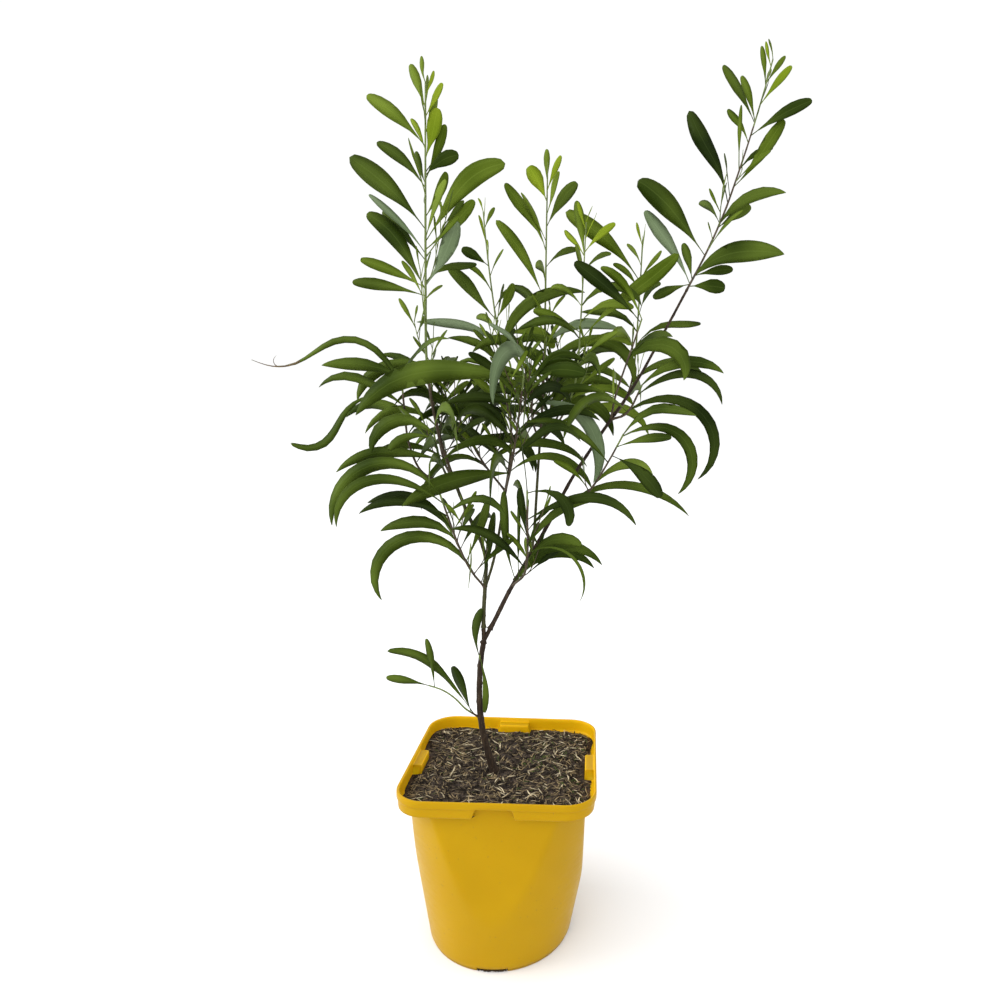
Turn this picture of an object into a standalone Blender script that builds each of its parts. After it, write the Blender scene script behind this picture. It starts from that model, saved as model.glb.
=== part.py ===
"""Potted acacia: a young phyllode-bearing shrub in a square-to-round nursery pot.

Metres, +Z up, +X to the right and +Y away from the front of the pot. The origin
is the centre of the pot's flat underside. Limbs and leafy shoots are grown from
their foot by heading, slope and length; leaves follow one seeded rule, and the
leaves that make the outline are given by their own sizes.
"""
import math
import random

import bmesh
import bpy
from mathutils import Vector
from mathutils.bvhtree import BVHTree

MM = 0.001
GAP = 0.3 * MM
FLAT_ANGLE = 0.004

# Pot
POT_HEIGHT = 168 * MM
RIM_HALF = 85 * MM
RIM_CORNER = 26 * MM
LIP_HEIGHT = 6 * MM
LIP_OVERHANG = 0.8 * MM
COLLAR_HEIGHT = 15 * MM
COLLAR_DRAFT = 0.8 * MM
BASE_RADIUS = 66.5 * MM
SHOULDER_RADIUS = 93.5 * MM
FACE_HALF_FOOT = 76.0 * MM
FACE_HALF_TOP = 76.8 * MM
WALL = 1.5 * MM
FLOOR = 5 * MM
FOOT_HEIGHT = 3.3 * MM
FOOT_INSET = 1.0 * MM
NOTCH_WIDTH = 27 * MM
NOTCH_DEPTH = 7 * MM
POCKET_TOP_WIDTH = 30.5 * MM
POCKET_FOOT_WIDTH = 36 * MM
POT_SIDES = 32
CORNER_STEPS = 4

# Soil
SOIL_LEVEL = 156 * MM
SOIL_EDGE = 153.8 * MM
SOIL_BUMP = 1.6 * MM

# Limbs and leaves
UP = Vector((0, 0, 1))
GOLDEN_ANGLE = 137.5
LIMB_SIDES = 7
LIMB_STEPS = 6
TWIG_SIDES = 3
TWIG_STEP = 26 * MM
TURN_SHARE = 0.35
SIDE_STEP_BACK = 4 * MM
SIDE_ANGLE = 48
LEAF_STEPS = 24
BLADE_ORDER = (2, 0, 1)
LEAF_RINGS = {68 * MM: (0, 8, 17, 24), 112 * MM: (0, 6, 12, 18, 24), 999 * MM: (0, 5, 10, 15, 20, 24)}
LEAF_BEND = 1.3
LEAF_ROOT_WIDTH = 1.3 * MM
LEAF_TIP_WIDTH = 1.0 * MM
LEAF_THINNEST = 0.9 * MM
LEAF_THICKNESS_SHARE = 0.0115
LEAF_CLEARANCE = 0.6 * MM
TRY_TURNS = (0, 12, -12, 24, -24, 38, -38)
LOWEST_LEAF = POT_HEIGHT + 12 * MM

# Trunk foot, its lean and the fork
TRUNK_FOOT = Vector((-9 * MM, -10 * MM, SOIL_LEVEL + GAP))
TRUNK_LENGTH = 131 * MM
TRUNK_FLARE_HEIGHT = 14 * MM
TRUNK_FLARE_RADIUS = 4.3 * MM
TRUNK_FOOT_RADIUS = 3.2 * MM
TRUNK_TIP_RADIUS = 2.3 * MM
FORK_LENGTH = 13 * MM

# Boughs: what carries each, its heading, slope at foot and tip, length and radii (mm).
# A bough goes on from its carrier's tip, or leaves its side where "side" is set.
BOUGHS = (
    dict(name="left_bough", on="trunk_left", heading=60, rise=86, end_rise=88, length=42, radii=(1.9, 1.8)),
    dict(name="right_bough", on="trunk_right", heading=2, rise=68, end_rise=62, length=50, radii=(2.1, 1.9)),
    dict(name="left_leader", on="left_bough", heading=196, rise=60, end_rise=70, length=97, radii=(1.7, 1.5)),
    dict(name="centre_bough", on="left_bough", side=80, heading=5, rise=80, end_rise=84, length=98,
         radii=(1.3, 1.2)),
    dict(name="right_leader", on="right_bough", heading=6, rise=58, end_rise=66, length=72, radii=(1.8, 1.7)),
    dict(name="middle_bough", on="right_bough", side=85, heading=76, rise=86, end_rise=83, length=148,
         radii=(1.4, 1.2)),
    dict(name="right_middle_leader", on="right_leader", heading=6, rise=60, end_rise=57, length=102,
         radii=(1.6, 1.4)),
    dict(name="right_upper_leader", on="right_middle_leader", heading=6, rise=63, end_rise=64, length=128,
         radii=(1.3, 1.1)),
)

# Leafy shoots, each a mass of foliage: the stem like a bough's, then the rule for its
# leaves: how many, where they start, first heading, length and slopes from foot to tip.
SHOOTS = (
    dict(name="left_tall_shoot", on="left_leader", heading=250, rise=88, end_rise=89, length=326,
         radii=(1.4, 0.7), leaves=10, start=0.52, first=45, long=(58, 20), rise_out=(50, 74),
         fall=(10, 66), width=(0.15, 0.17), reach=105, seed=3),
    dict(name="left_wave_spray", on="left_leader", side=205, heading=205, rise=78, end_rise=86, length=112,
         radii=(1.1, 0.8), leaves=4, start=0.35, first=260, long=(95, 70), rise_out=(40, 55),
         fall=(-60, -20), width=(0.11, 0.12), reach=200, seed=5),
    dict(name="left_arch_spray", on="left_leader", side=262, heading=248, rise=52, end_rise=74, length=58,
         radii=(1.1, 0.8), leaves=4, start=0.3, first=250, long=(105, 80), rise_out=(40, 50),
         fall=(-90, -50), width=(0.10, 0.12), reach=160, seed=8),
    dict(name="left_low_spray", on="left_bough", side=240, heading=236, rise=60, end_rise=66, length=104,
         radii=(1.1, 0.8), leaves=5, start=0.3, first=285, long=(92, 70), rise_out=(44, 56),
         fall=(-60, -40), width=(0.10, 0.12), reach=165, seed=11),
    dict(name="left_back_spray", on="left_leader", side=110, heading=125, rise=62, end_rise=74, length=108,
         radii=(1.1, 0.8), leaves=14, start=0.25, first=100, long=(110, 60), rise_out=(35, 60),
         fall=(-90, -10), width=(0.085, 0.12), reach=125, seed=13),
    dict(name="centre_front_spray", on="centre_bough", side=280, heading=286, rise=50, end_rise=66, length=128,
         radii=(1.1, 0.8), leaves=14, start=0.15, first=255, long=(108, 62), rise_out=(38, 62),
         fall=(-90, -10), width=(0.09, 0.12), reach=175, seed=17),
    dict(name="small_back_shoot", on="centre_bough", heading=132, rise=64, end_rise=80, length=262,
         radii=(1.1, 0.6), leaves=15, start=0.16, first=35, long=(84, 16), rise_out=(42, 72),
         fall=(-60, 60), width=(0.12, 0.17), reach=112, seed=19),
    dict(name="centre_back_spray", on="centre_bough", side=170, heading=165, rise=52, end_rise=66, length=88,
         radii=(1.1, 0.8), leaves=14, start=0.2, first=80, long=(112, 66), rise_out=(34, 58),
         fall=(-90, -20), width=(0.085, 0.11), reach=135, seed=23),
    dict(name="middle_tall_shoot", on="middle_bough", heading=130, rise=88, end_rise=89, length=252,
         radii=(1.2, 0.6), leaves=11, start=0.06, first=300, long=(96, 20), rise_out=(40, 74),
         fall=(-70, 60), width=(0.12, 0.17), reach=118, seed=29),
    dict(name="second_shoot", on="middle_bough", side=320, heading=280, rise=77, end_rise=84, length=204,
         radii=(1.0, 0.5), leaves=12, start=0.25, first=10, long=(78, 20), rise_out=(40, 62),
         fall=(-60, 50), width=(0.13, 0.17), reach=130, seed=31),
    dict(name="middle_front_spray", on="middle_bough", side=250, heading=276, rise=20, end_rise=50, length=86,
         radii=(1.0, 0.8), leaves=10, start=0.25, first=300, long=(100, 66), rise_out=(36, 60),
         fall=(-85, -20), width=(0.095, 0.12), reach=125, seed=33),
    dict(name="middle_back_spray", on="middle_bough", side=60, heading=62, rise=50, end_rise=66, length=92,
         radii=(1.1, 0.8), leaves=12, start=0.25, first=20, long=(108, 66), rise_out=(36, 60),
         fall=(-85, -10), width=(0.085, 0.11), reach=130, seed=37),
    dict(name="right_foot_spray", on="right_bough", side=280, heading=268, rise=70, end_rise=76, length=108,
         radii=(1.1, 0.8), leaves=4, start=0.3, first=215, long=(84, 70), rise_out=(60, 66),
         fall=(-30, 10), width=(0.10, 0.11), reach=135, seed=41),
    dict(name="right_low_spray", on="right_leader", side=310, heading=328, rise=50, end_rise=64, length=106,
         radii=(1.1, 0.8), leaves=4, start=0.2, first=275, long=(100, 76), rise_out=(34, 52),
         fall=(-60, -20), width=(0.09, 0.11), reach=150, seed=43),
    dict(name="right_arch_spray", on="right_middle_leader", side=320, heading=312, rise=52, end_rise=62,
         length=44, radii=(1.1, 0.8), leaves=2, start=0.35, first=230, long=(96, 80), rise_out=(38, 52),
         fall=(-70, -30), width=(0.10, 0.12), reach=150, seed=47),
    dict(name="right_thin_shoot", on="right_middle_leader", side=85, heading=78, rise=76, end_rise=86,
         length=194, radii=(1.1, 0.6), leaves=14, start=0.15, first=60, long=(96, 18), rise_out=(38, 76),
         fall=(-80, 68), width=(0.11, 0.15), reach=112, seed=53),
    dict(name="right_upper_spray", on="right_middle_leader", side=240, heading=328, rise=68, end_rise=72,
         length=92, radii=(1.0, 0.7), leaves=3, start=0.3, first=250, long=(84, 60), rise_out=(35, 60),
         fall=(-70, -5), width=(0.12, 0.14), reach=130, seed=59),
    dict(name="right_tall_shoot", on="right_upper_leader", heading=8, rise=69.5, end_rise=78, length=210,
         radii=(1.0, 0.6), leaves=7, start=0.30, first=110, long=(50, 18), rise_out=(48, 76),
         fall=(20, 72), width=(0.15, 0.17), reach=105, seed=61),
    dict(name="trunk_left_sprig", on="trunk", back=74, side=205, heading=184, rise=66, end_rise=4, length=54,
         radii=(0.9, 0.7), reach=105),
    dict(name="trunk_front_sprig", on="trunk", back=20, side=262, heading=262, rise=55, end_rise=75, length=6,
         radii=(0.9, 0.8), reach=80),
)

# The leaves that make the outline, by shoot: place along its stem, heading, slope at
# the root, slope at the tip, length and width (mm), twist, and a dip where it waves.
OUTLINE_LEAVES = {
    "left_tall_shoot": (
        (0.31, 182, 10, -84, 76, 11, 0), (0.485, 190, 14, -4, 60, 10, 0), (0.505, 194, 26, 10, 56, 10, 15),
        (0.50, 178, 66, 28, 80, 15, 0), (0.51, 352, 54, 78, 60, 14, 20), (0.60, 346, 40, 54, 58, 11, 10),
        (0.59, 188, 52, 32, 64, 7, 25), (0.62, 4, 66, 18, 96, 18, 0), (0.65, 180, 50, 28, 84, 18, 0),
        (0.68, 15, 60, 76, 42, 9, 30), (0.78, 10, 54, 10, 34, 12, 10), (0.75, 180, 56, 18, 54, 10, 0),
        (0.76, 168, 66, 80, 28, 6, 0), (0.77, 15, 68, 76, 50, 8, 0), (0.82, 5, 74, 82, 42, 12, 15),
        (0.85, 184, 48, 22, 60, 12, 0), (0.88, 350, 72, 80, 34, 6, 0), (0.92, 355, 60, 66, 30, 6, 0),
        (0.94, 180, 72, 66, 36, 8, 0),
    ),
    "left_wave_spray": (
        (0.94, 182, 58, 20, 146, 6, 10, -75), (0.99, 188, 24, -18, 66, 11, 0),
        (0.90, 192, -12, 28, 110, 7, 20, -70),
    ),
    "left_arch_spray": (
        (0.98, 182, 40, -104, 72, 12, 0), (0.92, 192, 16, -64, 42, 8, 0), (0.58, 186, 16, -44, 90, 10, 0),
    ),
    "left_low_spray": (
        (0.98, 182, 48, -112, 132, 12, 0), (0.92, 194, 44, -96, 112, 9, 0), (0.80, 182, 28, -40, 78, 8, 0),
        (0.55, 176, 40, -44, 74, 11, 0), (0.16, 184, 60, -132, 144, 12, 0),
        (0.04, 12, 78, 86, 66, 8, 30), (0.34, 20, 66, 80, 58, 8, 0),
    ),
    "centre_front_spray": (
        (0.98, 188, 12, -54, 143, 19, 0), (0.97, 345, 24, -20, 54, 13, 0),
        (0.80, 180, 12, -24, 64, 9, 0), (0.20, 194, 0, -34, 106, 16, 0),
    ),
    "small_back_shoot": (
        (0.50, 184, 34, -16, 82, 9, 0), (0.60, 182, 50, 38, 64, 12, 0), (0.44, 2, 86, -20, 116, 12, 0),
        (0.60, 8, 60, 74, 38, 9, 20), (0.80, 182, 36, 20, 30, 10, 0), (0.52, 350, 40, -70, 60, 12, 0),
    ),
    "middle_tall_shoot": (
        (0.27, 350, 48, -98, 118, 12, 0), (0.50, 186, 66, 42, 86, 11, 0), (0.68, 184, 66, 42, 72, 11, 0),
        (0.77, 2, 66, 44, 50, 12, 0), (0.86, 180, 66, 50, 36, 14, 0), (0.90, 0, 72, 66, 34, 6, 0),
        (0.92, 178, 86, 90, 32, 6, 0),
    ),
    "second_shoot": (
        (0.51, 350, 46, 36, 114, 14, 0), (0.55, 182, 32, 8, 46, 9, 0), (0.66, 350, 54, -74, 66, 8, 0),
        (0.86, 172, 82, 76, 48, 9, 0), (0.88, 355, 54, 30, 36, 7, 0),
    ),
    "middle_front_spray": (
        (0.60, 350, 4, -126, 112, 13, 0), (0.98, 250, 48, -116, 110, 14, 20),
    ),
    "right_foot_spray": (
        (0.03, 355, 62, -54, 88, 10, 0), (0.16, 350, 64, -60, 92, 10, 0), (0.46, 350, 24, -128, 84, 3, 0),
        (0.76, 350, 40, -56, 104, 9, 0), (0.98, 350, 20, -116, 56, 10, 0), (0.06, 182, 72, 94, 84, 8, 0),
        (0.34, 8, 66, -40, 60, 11, 0), (0.60, 196, 76, 84, 44, 7, 0), (0.12, 120, 82, 88, 66, 8, 0),
    ),
    "right_low_spray": (
        (0.07, 355, 42, -56, 130, 8, 0), (0.80, 346, -20, -62, 56, 13, 0), (0.88, 335, 22, -2, 50, 8, 0),
        (0.98, 344, 36, -136, 106, 10, 0, -15),
    ),
    "right_arch_spray": (
        (0.15, 0, 38, -148, 148, 11, 0), (0.76, 355, 48, -78, 92, 8, 0),
    ),
    "right_upper_spray": (
        (0.24, 182, 22, -20, 50, 8, 0), (0.60, 355, 52, -116, 76, 15, 0), (0.97, 184, 46, 28, 74, 13, 0),
    ),
    "right_thin_shoot": (
        (0.79, 190, 52, 18, 96, 17, 0), (0.74, 268, 82, 84, 52, 6, 0),
    ),
    "right_tall_shoot": (
        (0.01, 6, 8, -10, 34, 13, 0), (0.02, 184, -14, -36, 36, 9, 0), (0.06, 352, 40, -22, 84, 19, 0),
        (0.02, 176, 62, 46, 76, 15, 30), (0.04, 165, 78, 66, 34, 8, 0), (0.06, 12, 20, 4, 38, 9, 0),
        (0.155, 182, 54, 30, 88, 20, 0), (0.28, 12, 42, 26, 38, 10, 0), (0.30, 350, 54, -16, 66, 11, 0),
        (0.39, 178, 70, 54, 86, 15, 0), (0.46, 5, 50, 62, 74, 12, 0), (0.53, 150, 86, 92, 56, 4, 0),
        (0.68, 355, 38, 20, 60, 11, 0), (0.74, 165, 76, 62, 42, 7, 0), (0.735, 184, 58, 42, 54, 10, 0),
        (0.81, 5, 56, 48, 44, 7, 0), (0.89, 168, 84, 76, 34, 5, 0), (0.90, 10, 60, 52, 30, 5, 0),
    ),
    "trunk_left_sprig": (
        (0.05, 182, 62, 0, 104, 9, 0), (0.12, 166, 64, 56, 46, 12, 0), (0.90, 168, 84, 72, 46, 7, 0),
        (0.98, 184, 16, 4, 40, 8, 0),
    ),
    "trunk_front_sprig": (
        (0.50, 176, 70, 122, 48, 8, 0), (0.90, 20, -74, -98, 56, 6, 20),
    ),
}

BARK_BROWN = (0.060, 0.036, 0.024, 1)
BARK_GREEN = (0.085, 0.090, 0.035, 1)
LEAF_GREEN = (0.070, 0.140, 0.024, 1)
POT_YELLOW = (0.620, 0.360, 0.010, 1)
SOIL_BROWN = (0.085, 0.060, 0.040, 1)


def clear_scene():
    for item in list(bpy.data.objects):
        bpy.data.objects.remove(item, do_unlink=True)


def material(name, colour, roughness):
    finish = bpy.data.materials.new(name)
    finish.use_nodes = True
    shader = finish.node_tree.nodes["Principled BSDF"]
    shader.inputs["Base Color"].default_value = colour
    shader.inputs["Roughness"].default_value = roughness
    shader.inputs["Metallic"].default_value = 0
    return finish


def swept_mesh(name, rings, across=None):
    """One closed body: a first face, extruded from ring to ring.

    For a flat blade, across gives its corners' order over the blade, so that both
    skins are split along the same diagonals and keep their thickness where it twists.
    """
    bm = bmesh.new()
    face = bm.faces.new([bm.verts.new(corner) for corner in rings[0]])
    for ring in rings[1:]:
        low = list(face.verts)
        grown = bmesh.ops.extrude_face_region(bm, geom=[face])["geom"]
        old = face
        face = next(item for item in grown if isinstance(item, bmesh.types.BMFace))
        for vert, corner in zip(face.verts, ring):
            vert.co = corner
        if old.is_valid and ring is not rings[1]:
            bmesh.ops.delete(bm, geom=[old], context="FACES_ONLY")
        high = list(face.verts)
        for side in range(len(ring) if across else 0):
            start, end = sorted((side, (side + 1) % len(ring)), key=lambda corner: across[corner])
            quad = next(item for item in low[start].link_faces if high[end] in item.verts)
            bmesh.utils.face_split(quad, low[start], high[end])
    bmesh.ops.recalc_face_normals(bm, faces=bm.faces)
    bmesh.ops.triangulate(bm, faces=bm.faces)
    mesh = bpy.data.meshes.new(name)
    bm.to_mesh(mesh)
    bm.free()
    return mesh


def add_object(name, mesh, finish=None):
    item = bpy.data.objects.new(name, mesh)
    bpy.context.scene.collection.objects.link(item)
    if finish:
        mesh.materials.clear()
        mesh.materials.append(finish)
    return item


def apply_boolean(item, operation, cutters, solver="EXACT"):
    """Join or cut with a whole collection of pieces, then drop those pieces."""
    group = bpy.data.collections.new(item.name + "_cutters")
    bpy.context.scene.collection.children.link(group)
    for cutter in cutters:
        bpy.context.scene.collection.objects.unlink(cutter)
        group.objects.link(cutter)
    step = item.modifiers.new("join", "BOOLEAN")
    step.operation = operation
    step.operand_type = "COLLECTION"
    step.collection = group
    step.solver = solver
    bpy.context.view_layer.update()
    evaluated = item.evaluated_get(bpy.context.evaluated_depsgraph_get())
    mesh = bpy.data.meshes.new_from_object(evaluated)
    item.modifiers.clear()
    item.data = mesh
    for cutter in cutters:
        bpy.data.objects.remove(cutter, do_unlink=True)
    bpy.data.collections.remove(group)


def keep_main_body(mesh):
    """Keep the largest shell: a sealed hollow is filled and loose scrap is dropped."""
    bm = bmesh.new()
    bm.from_mesh(mesh)
    bmesh.ops.triangulate(bm, faces=bm.faces)
    unseen = set(bm.faces)
    shells = []
    while unseen:
        shell = [unseen.pop()]
        for face in shell:
            for edge in face.edges:
                for other in edge.link_faces:
                    if other in unseen:
                        unseen.remove(other)
                        shell.append(other)
        volume = sum(f.verts[0].co.dot(f.verts[1].co.cross(f.verts[2].co)) for f in shell) / 6
        shells.append((volume, shell))
    shells.sort(key=lambda entry: entry[0])
    for volume, shell in shells[:-1]:
        bmesh.ops.delete(bm, geom=shell, context="FACES")
    bmesh.ops.dissolve_limit(bm, angle_limit=FLAT_ANGLE, verts=bm.verts, edges=bm.edges)
    bmesh.ops.triangulate(bm, faces=bm.faces)
    bm.to_mesh(mesh)
    bm.free()


# Pot and soil

def rounded_square(half, corner, height):
    """A square with round corners, seen from above, as one ring at this height."""
    ring = []
    inner = half - corner
    for quarter in range(4):
        middle = math.radians(45 + 90 * quarter)
        x = math.copysign(inner, math.cos(middle))
        y = math.copysign(inner, math.sin(middle))
        for step in range(CORNER_STEPS + 1):
            turn = math.radians(90 * quarter + 90 * step / CORNER_STEPS)
            ring.append(Vector((x + corner * math.cos(turn), y + corner * math.sin(turn), height)))
    return ring


def body_ring(height, inset, sides):
    """The pot's wall: a cone cut by four upright faces, as one ring."""
    share = height / (POT_HEIGHT - COLLAR_HEIGHT)
    cone = BASE_RADIUS + (SHOULDER_RADIUS - BASE_RADIUS) * share - inset
    face = FACE_HALF_FOOT + (FACE_HALF_TOP - FACE_HALF_FOOT) * share - inset
    ring = []
    for step in range(sides):
        turn = 2 * math.pi * step / sides
        across = max(abs(math.cos(turn)), abs(math.sin(turn)))
        radius = min(cone, face / across)
        ring.append(Vector((radius * math.cos(turn), radius * math.sin(turn), height)))
    return ring


def body_levels(bottom, top):
    """Heights for the wall's rings, closer together where the faces begin."""
    between = [share * POT_HEIGHT for share in (0.34, 0.46, 0.64)]
    return [bottom] + [level for level in between if bottom < level < top] + [top]


def pockets(extra, low):
    """A slanted-ended block for the middle of each face, where the collar is left out."""
    blocks = []
    top = POT_HEIGHT - LIP_HEIGHT + extra
    face_half = FACE_HALF_TOP - extra
    reach = RIM_HALF + 10 * MM
    for quarter in range(4):
        turn = math.radians(90 * quarter)
        along = Vector((-math.sin(turn), math.cos(turn), 0))
        out = Vector((math.cos(turn), math.sin(turn), 0))
        rings = []
        for height, width in ((low, POCKET_FOOT_WIDTH), (top, POCKET_TOP_WIDTH)):
            half = width / 2 + extra
            corners = ((-half, face_half), (half, face_half), (half, reach), (-half, reach))
            rings.append([along * a + out * o + UP * height for a, o in corners])
        blocks.append(add_object("pocket", swept_mesh("pocket", rings)))
    return blocks


def notches():
    """The drainage notches in the foot, one under each face."""
    blocks = []
    for quarter in range(4):
        turn = math.radians(90 * quarter)
        along = Vector((-math.sin(turn), math.cos(turn), 0))
        out = Vector((math.cos(turn), math.sin(turn), 0))
        half = NOTCH_WIDTH / 2
        near, far = BASE_RADIUS - NOTCH_DEPTH, BASE_RADIUS + NOTCH_DEPTH
        corners = ((-half, near), (half, near), (half, far), (-half, far))
        rings = [[along * a + out * o + UP * height for a, o in corners] for height in (-MM, FOOT_HEIGHT)]
        blocks.append(add_object("notch", swept_mesh("notch", rings)))
    return blocks


def make_pot():
    """Wall, stepped-out collar with its four pockets, lip and notched foot."""
    foot = [body_ring(height, FOOT_INSET, POT_SIDES) for height in (0, FOOT_HEIGHT)]
    wall_top = POT_HEIGHT - LIP_HEIGHT / 2
    wall = [body_ring(level, 0, POT_SIDES) for level in body_levels(FOOT_HEIGHT + 0.5 * MM, wall_top)]
    pot = add_object("pot", swept_mesh("pot", foot + wall), material("pot_plastic", POT_YELLOW, 0.42))

    shoulder = POT_HEIGHT - COLLAR_HEIGHT
    collar_rings = [rounded_square(RIM_HALF - COLLAR_DRAFT, RIM_CORNER, shoulder),
                    rounded_square(RIM_HALF, RIM_CORNER, wall_top)]
    collar = add_object("collar", swept_mesh("collar", collar_rings))
    apply_boolean(collar, "DIFFERENCE", pockets(0, shoulder - 5 * MM))
    lip_half = RIM_HALF + LIP_OVERHANG
    lip_corner = RIM_CORNER + LIP_OVERHANG
    lip_rings = [rounded_square(lip_half, lip_corner, POT_HEIGHT - LIP_HEIGHT),
                 rounded_square(lip_half, lip_corner, POT_HEIGHT)]
    lip = add_object("lip", swept_mesh("lip", lip_rings))
    apply_boolean(pot, "UNION", [collar, lip])

    inside_top = POT_HEIGHT + 5 * MM
    inside = [body_ring(level, WALL, POT_SIDES) for level in body_levels(FLOOR, shoulder + WALL)]
    cavity = add_object("cavity", swept_mesh("cavity", inside))
    upper_rings = [rounded_square(RIM_HALF - COLLAR_DRAFT - WALL, RIM_CORNER - WALL, shoulder + WALL / 2),
                   rounded_square(RIM_HALF - WALL, RIM_CORNER - WALL, inside_top)]
    upper = add_object("upper", swept_mesh("upper", upper_rings))
    apply_boolean(upper, "DIFFERENCE", pockets(WALL, shoulder - 5 * MM))
    apply_boolean(cavity, "UNION", [upper])
    apply_boolean(pot, "DIFFERENCE", [cavity] + notches())
    keep_main_body(pot.data)
    return pot


def make_soil():
    """The potting mix, a little uneven, with a level spot round the trunk's foot."""
    fill = [body_ring(level, WALL + GAP, POT_SIDES) for level in body_levels(FLOOR + GAP, SOIL_EDGE)]
    draw = random.Random(2)
    for share, rise in ((0.93, 0.5), (0.66, 1.0), (0.36, 1.0)):
        ring = []
        for corner in fill[len(body_levels(FLOOR + GAP, SOIL_EDGE)) - 1]:
            level = SOIL_EDGE + (SOIL_LEVEL - SOIL_EDGE) * rise
            bump = 0 if share < 0.5 else SOIL_BUMP * draw.uniform(-0.5, 0.5)
            ring.append(Vector((corner.x * share, corner.y * share, level + bump)))
        fill.append(ring)
    return add_object("soil", swept_mesh("soil", fill), material("soil_mix", SOIL_BROWN, 0.95))


# Limbs

def way_of(heading, slope):
    """The unit vector that a heading and a slope in degrees point along."""
    turn, lift = math.radians(heading), math.radians(slope)
    return Vector((math.cos(lift) * math.cos(turn), math.cos(lift) * math.sin(turn), math.sin(lift)))


class Stem:
    """A tapering limb: it leaves its foot along one way and turns to its own slope."""

    def __init__(self, foot, first_way, row, steps):
        self.length = row["length"] * MM
        self.radii = [radius * MM for radius in row["radii"]]
        self.points = [foot]
        self.ways = []
        for step in range(steps + 1):
            share = step / steps
            slope = row["rise"] + (row["end_rise"] - row["rise"]) * share
            turned = min(1, share / TURN_SHARE)
            way = first_way.lerp(way_of(row["heading"], slope), turned).normalized()
            self.ways.append(way)
            if step < steps:
                self.points.append(self.points[-1] + way * (self.length / steps))

    def at(self, share):
        """Point, way and radius at a share of the stem's length."""
        place = min(max(share, 0), 1) * (len(self.points) - 1)
        low = min(int(place), len(self.points) - 2)
        part = place - low
        point = self.points[low].lerp(self.points[low + 1], part)
        radius = self.radii[0] + (self.radii[1] - self.radii[0]) * min(max(share, 0), 1)
        return point, self.ways[low].lerp(self.ways[low + 1], part).normalized(), radius

    def rings(self, sides, radii=None):
        """Rings square to the stem, carried along without twisting."""
        across = self.ways[0].orthogonal().normalized()
        rings = []
        for index, point in enumerate(self.points):
            way = self.ways[index]
            across = (across - way * across.dot(way)).normalized()
            over = way.cross(across)
            radius = radii[index] if radii else self.at(index / (len(self.points) - 1))[2]
            turns = [2 * math.pi * side / sides for side in range(sides)]
            rings.append([point + (across * math.cos(t) + over * math.sin(t)) * radius for t in turns])
        return rings


def next_foot(carrier, row):
    """Where a stem meets what carries it, 0.3 mm clear, and which way it starts."""
    if "side" not in row:
        tip, way, radius = carrier.at(1)
        return tip + way * GAP, way
    back = row.get("back", SIDE_STEP_BACK / MM) * MM
    point, way, radius = carrier.at(1 - back / carrier.length)
    out = way_of(row["side"], 0)
    out = (out - way * out.dot(way)).normalized()
    lean = math.radians(SIDE_ANGLE)
    first_way = out * math.sin(lean) + way * math.cos(lean)
    return point + out * (radius + GAP + row["radii"][0] * MM * math.cos(lean)), first_way


def make_trunk(bark):
    """Trunk with root flare and lean, fused with the two short arms of its fork."""
    row = dict(length=TRUNK_LENGTH / MM, radii=(TRUNK_FOOT_RADIUS / MM, TRUNK_TIP_RADIUS / MM), heading=180,
               rise=73, end_rise=101)
    trunk = Stem(TRUNK_FOOT, way_of(180, 72), row, 9)
    radii = []
    for index in range(len(trunk.points)):
        share = index / (len(trunk.points) - 1)
        flare = max(0, 1 - share * TRUNK_LENGTH / TRUNK_FLARE_HEIGHT / 1.6)
        radii.append(trunk.at(share)[2] + (TRUNK_FLARE_RADIUS - TRUNK_FOOT_RADIUS) * flare)
    rings = trunk.rings(10, radii)
    for corner in rings[0]:
        corner.z = TRUNK_FOOT.z
    body = add_object("trunk", swept_mesh("trunk", rings), bark)
    tip, way, radius = trunk.at(0.985)
    arms = {}
    for name, heading, rise in (("trunk_left", 180, 88), ("trunk_right", 2, 64)):
        arm_row = dict(length=FORK_LENGTH / MM, radii=(2.0, 1.9), heading=heading, rise=rise, end_rise=rise)
        arms[name] = Stem(tip - way * MM, way_of(heading, rise), arm_row, 3)
    arm_bodies = [add_object(name, swept_mesh(name, arm.rings(LIMB_SIDES))) for name, arm in arms.items()]
    apply_boolean(body, "UNION", arm_bodies)
    keep_main_body(body.data)
    arms["trunk"] = trunk
    return body, arms


# Leaves

def leaf_frames(root, leaf):
    """Points along a leaf's midrib, each with the ways across its blade and out of it."""
    frames = []
    point = root.copy()
    length = leaf["length"] * MM
    for step in range(LEAF_STEPS + 1):
        share = step / LEAF_STEPS
        slope = leaf["rise"] + (leaf["fall"] - leaf["rise"]) * share ** LEAF_BEND
        slope += leaf["dip"] * math.sin(math.pi * share ** LEAF_BEND) ** 2
        heading = leaf["heading"] + leaf["turn"] * share
        along = way_of(heading, slope)
        upright = way_of(heading, slope + 90)
        sideways = along.cross(upright)
        twist = math.radians(leaf["twist"] * share ** 0.5)
        across = upright * math.cos(twist) + sideways * math.sin(twist)
        out = along.cross(across)
        frames.append((point.copy(), across, out))
        point += along * (length / LEAF_STEPS)
    return frames


def blade_width(share, width, length):
    """Oblanceolate outline: narrow root, widest past the middle, blunt tip."""
    widest = 0.62 + 0.10 * max(0, 1 - length / (60 * MM))
    swell = math.sin(math.pi * share ** (math.log(0.5) / math.log(widest)))
    outline = max(swell, 0) ** (0.95 - 0.45 * share)
    least = LEAF_ROOT_WIDTH + (LEAF_TIP_WIDTH - LEAF_ROOT_WIDTH) * share
    return max(width * outline, least)


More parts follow.
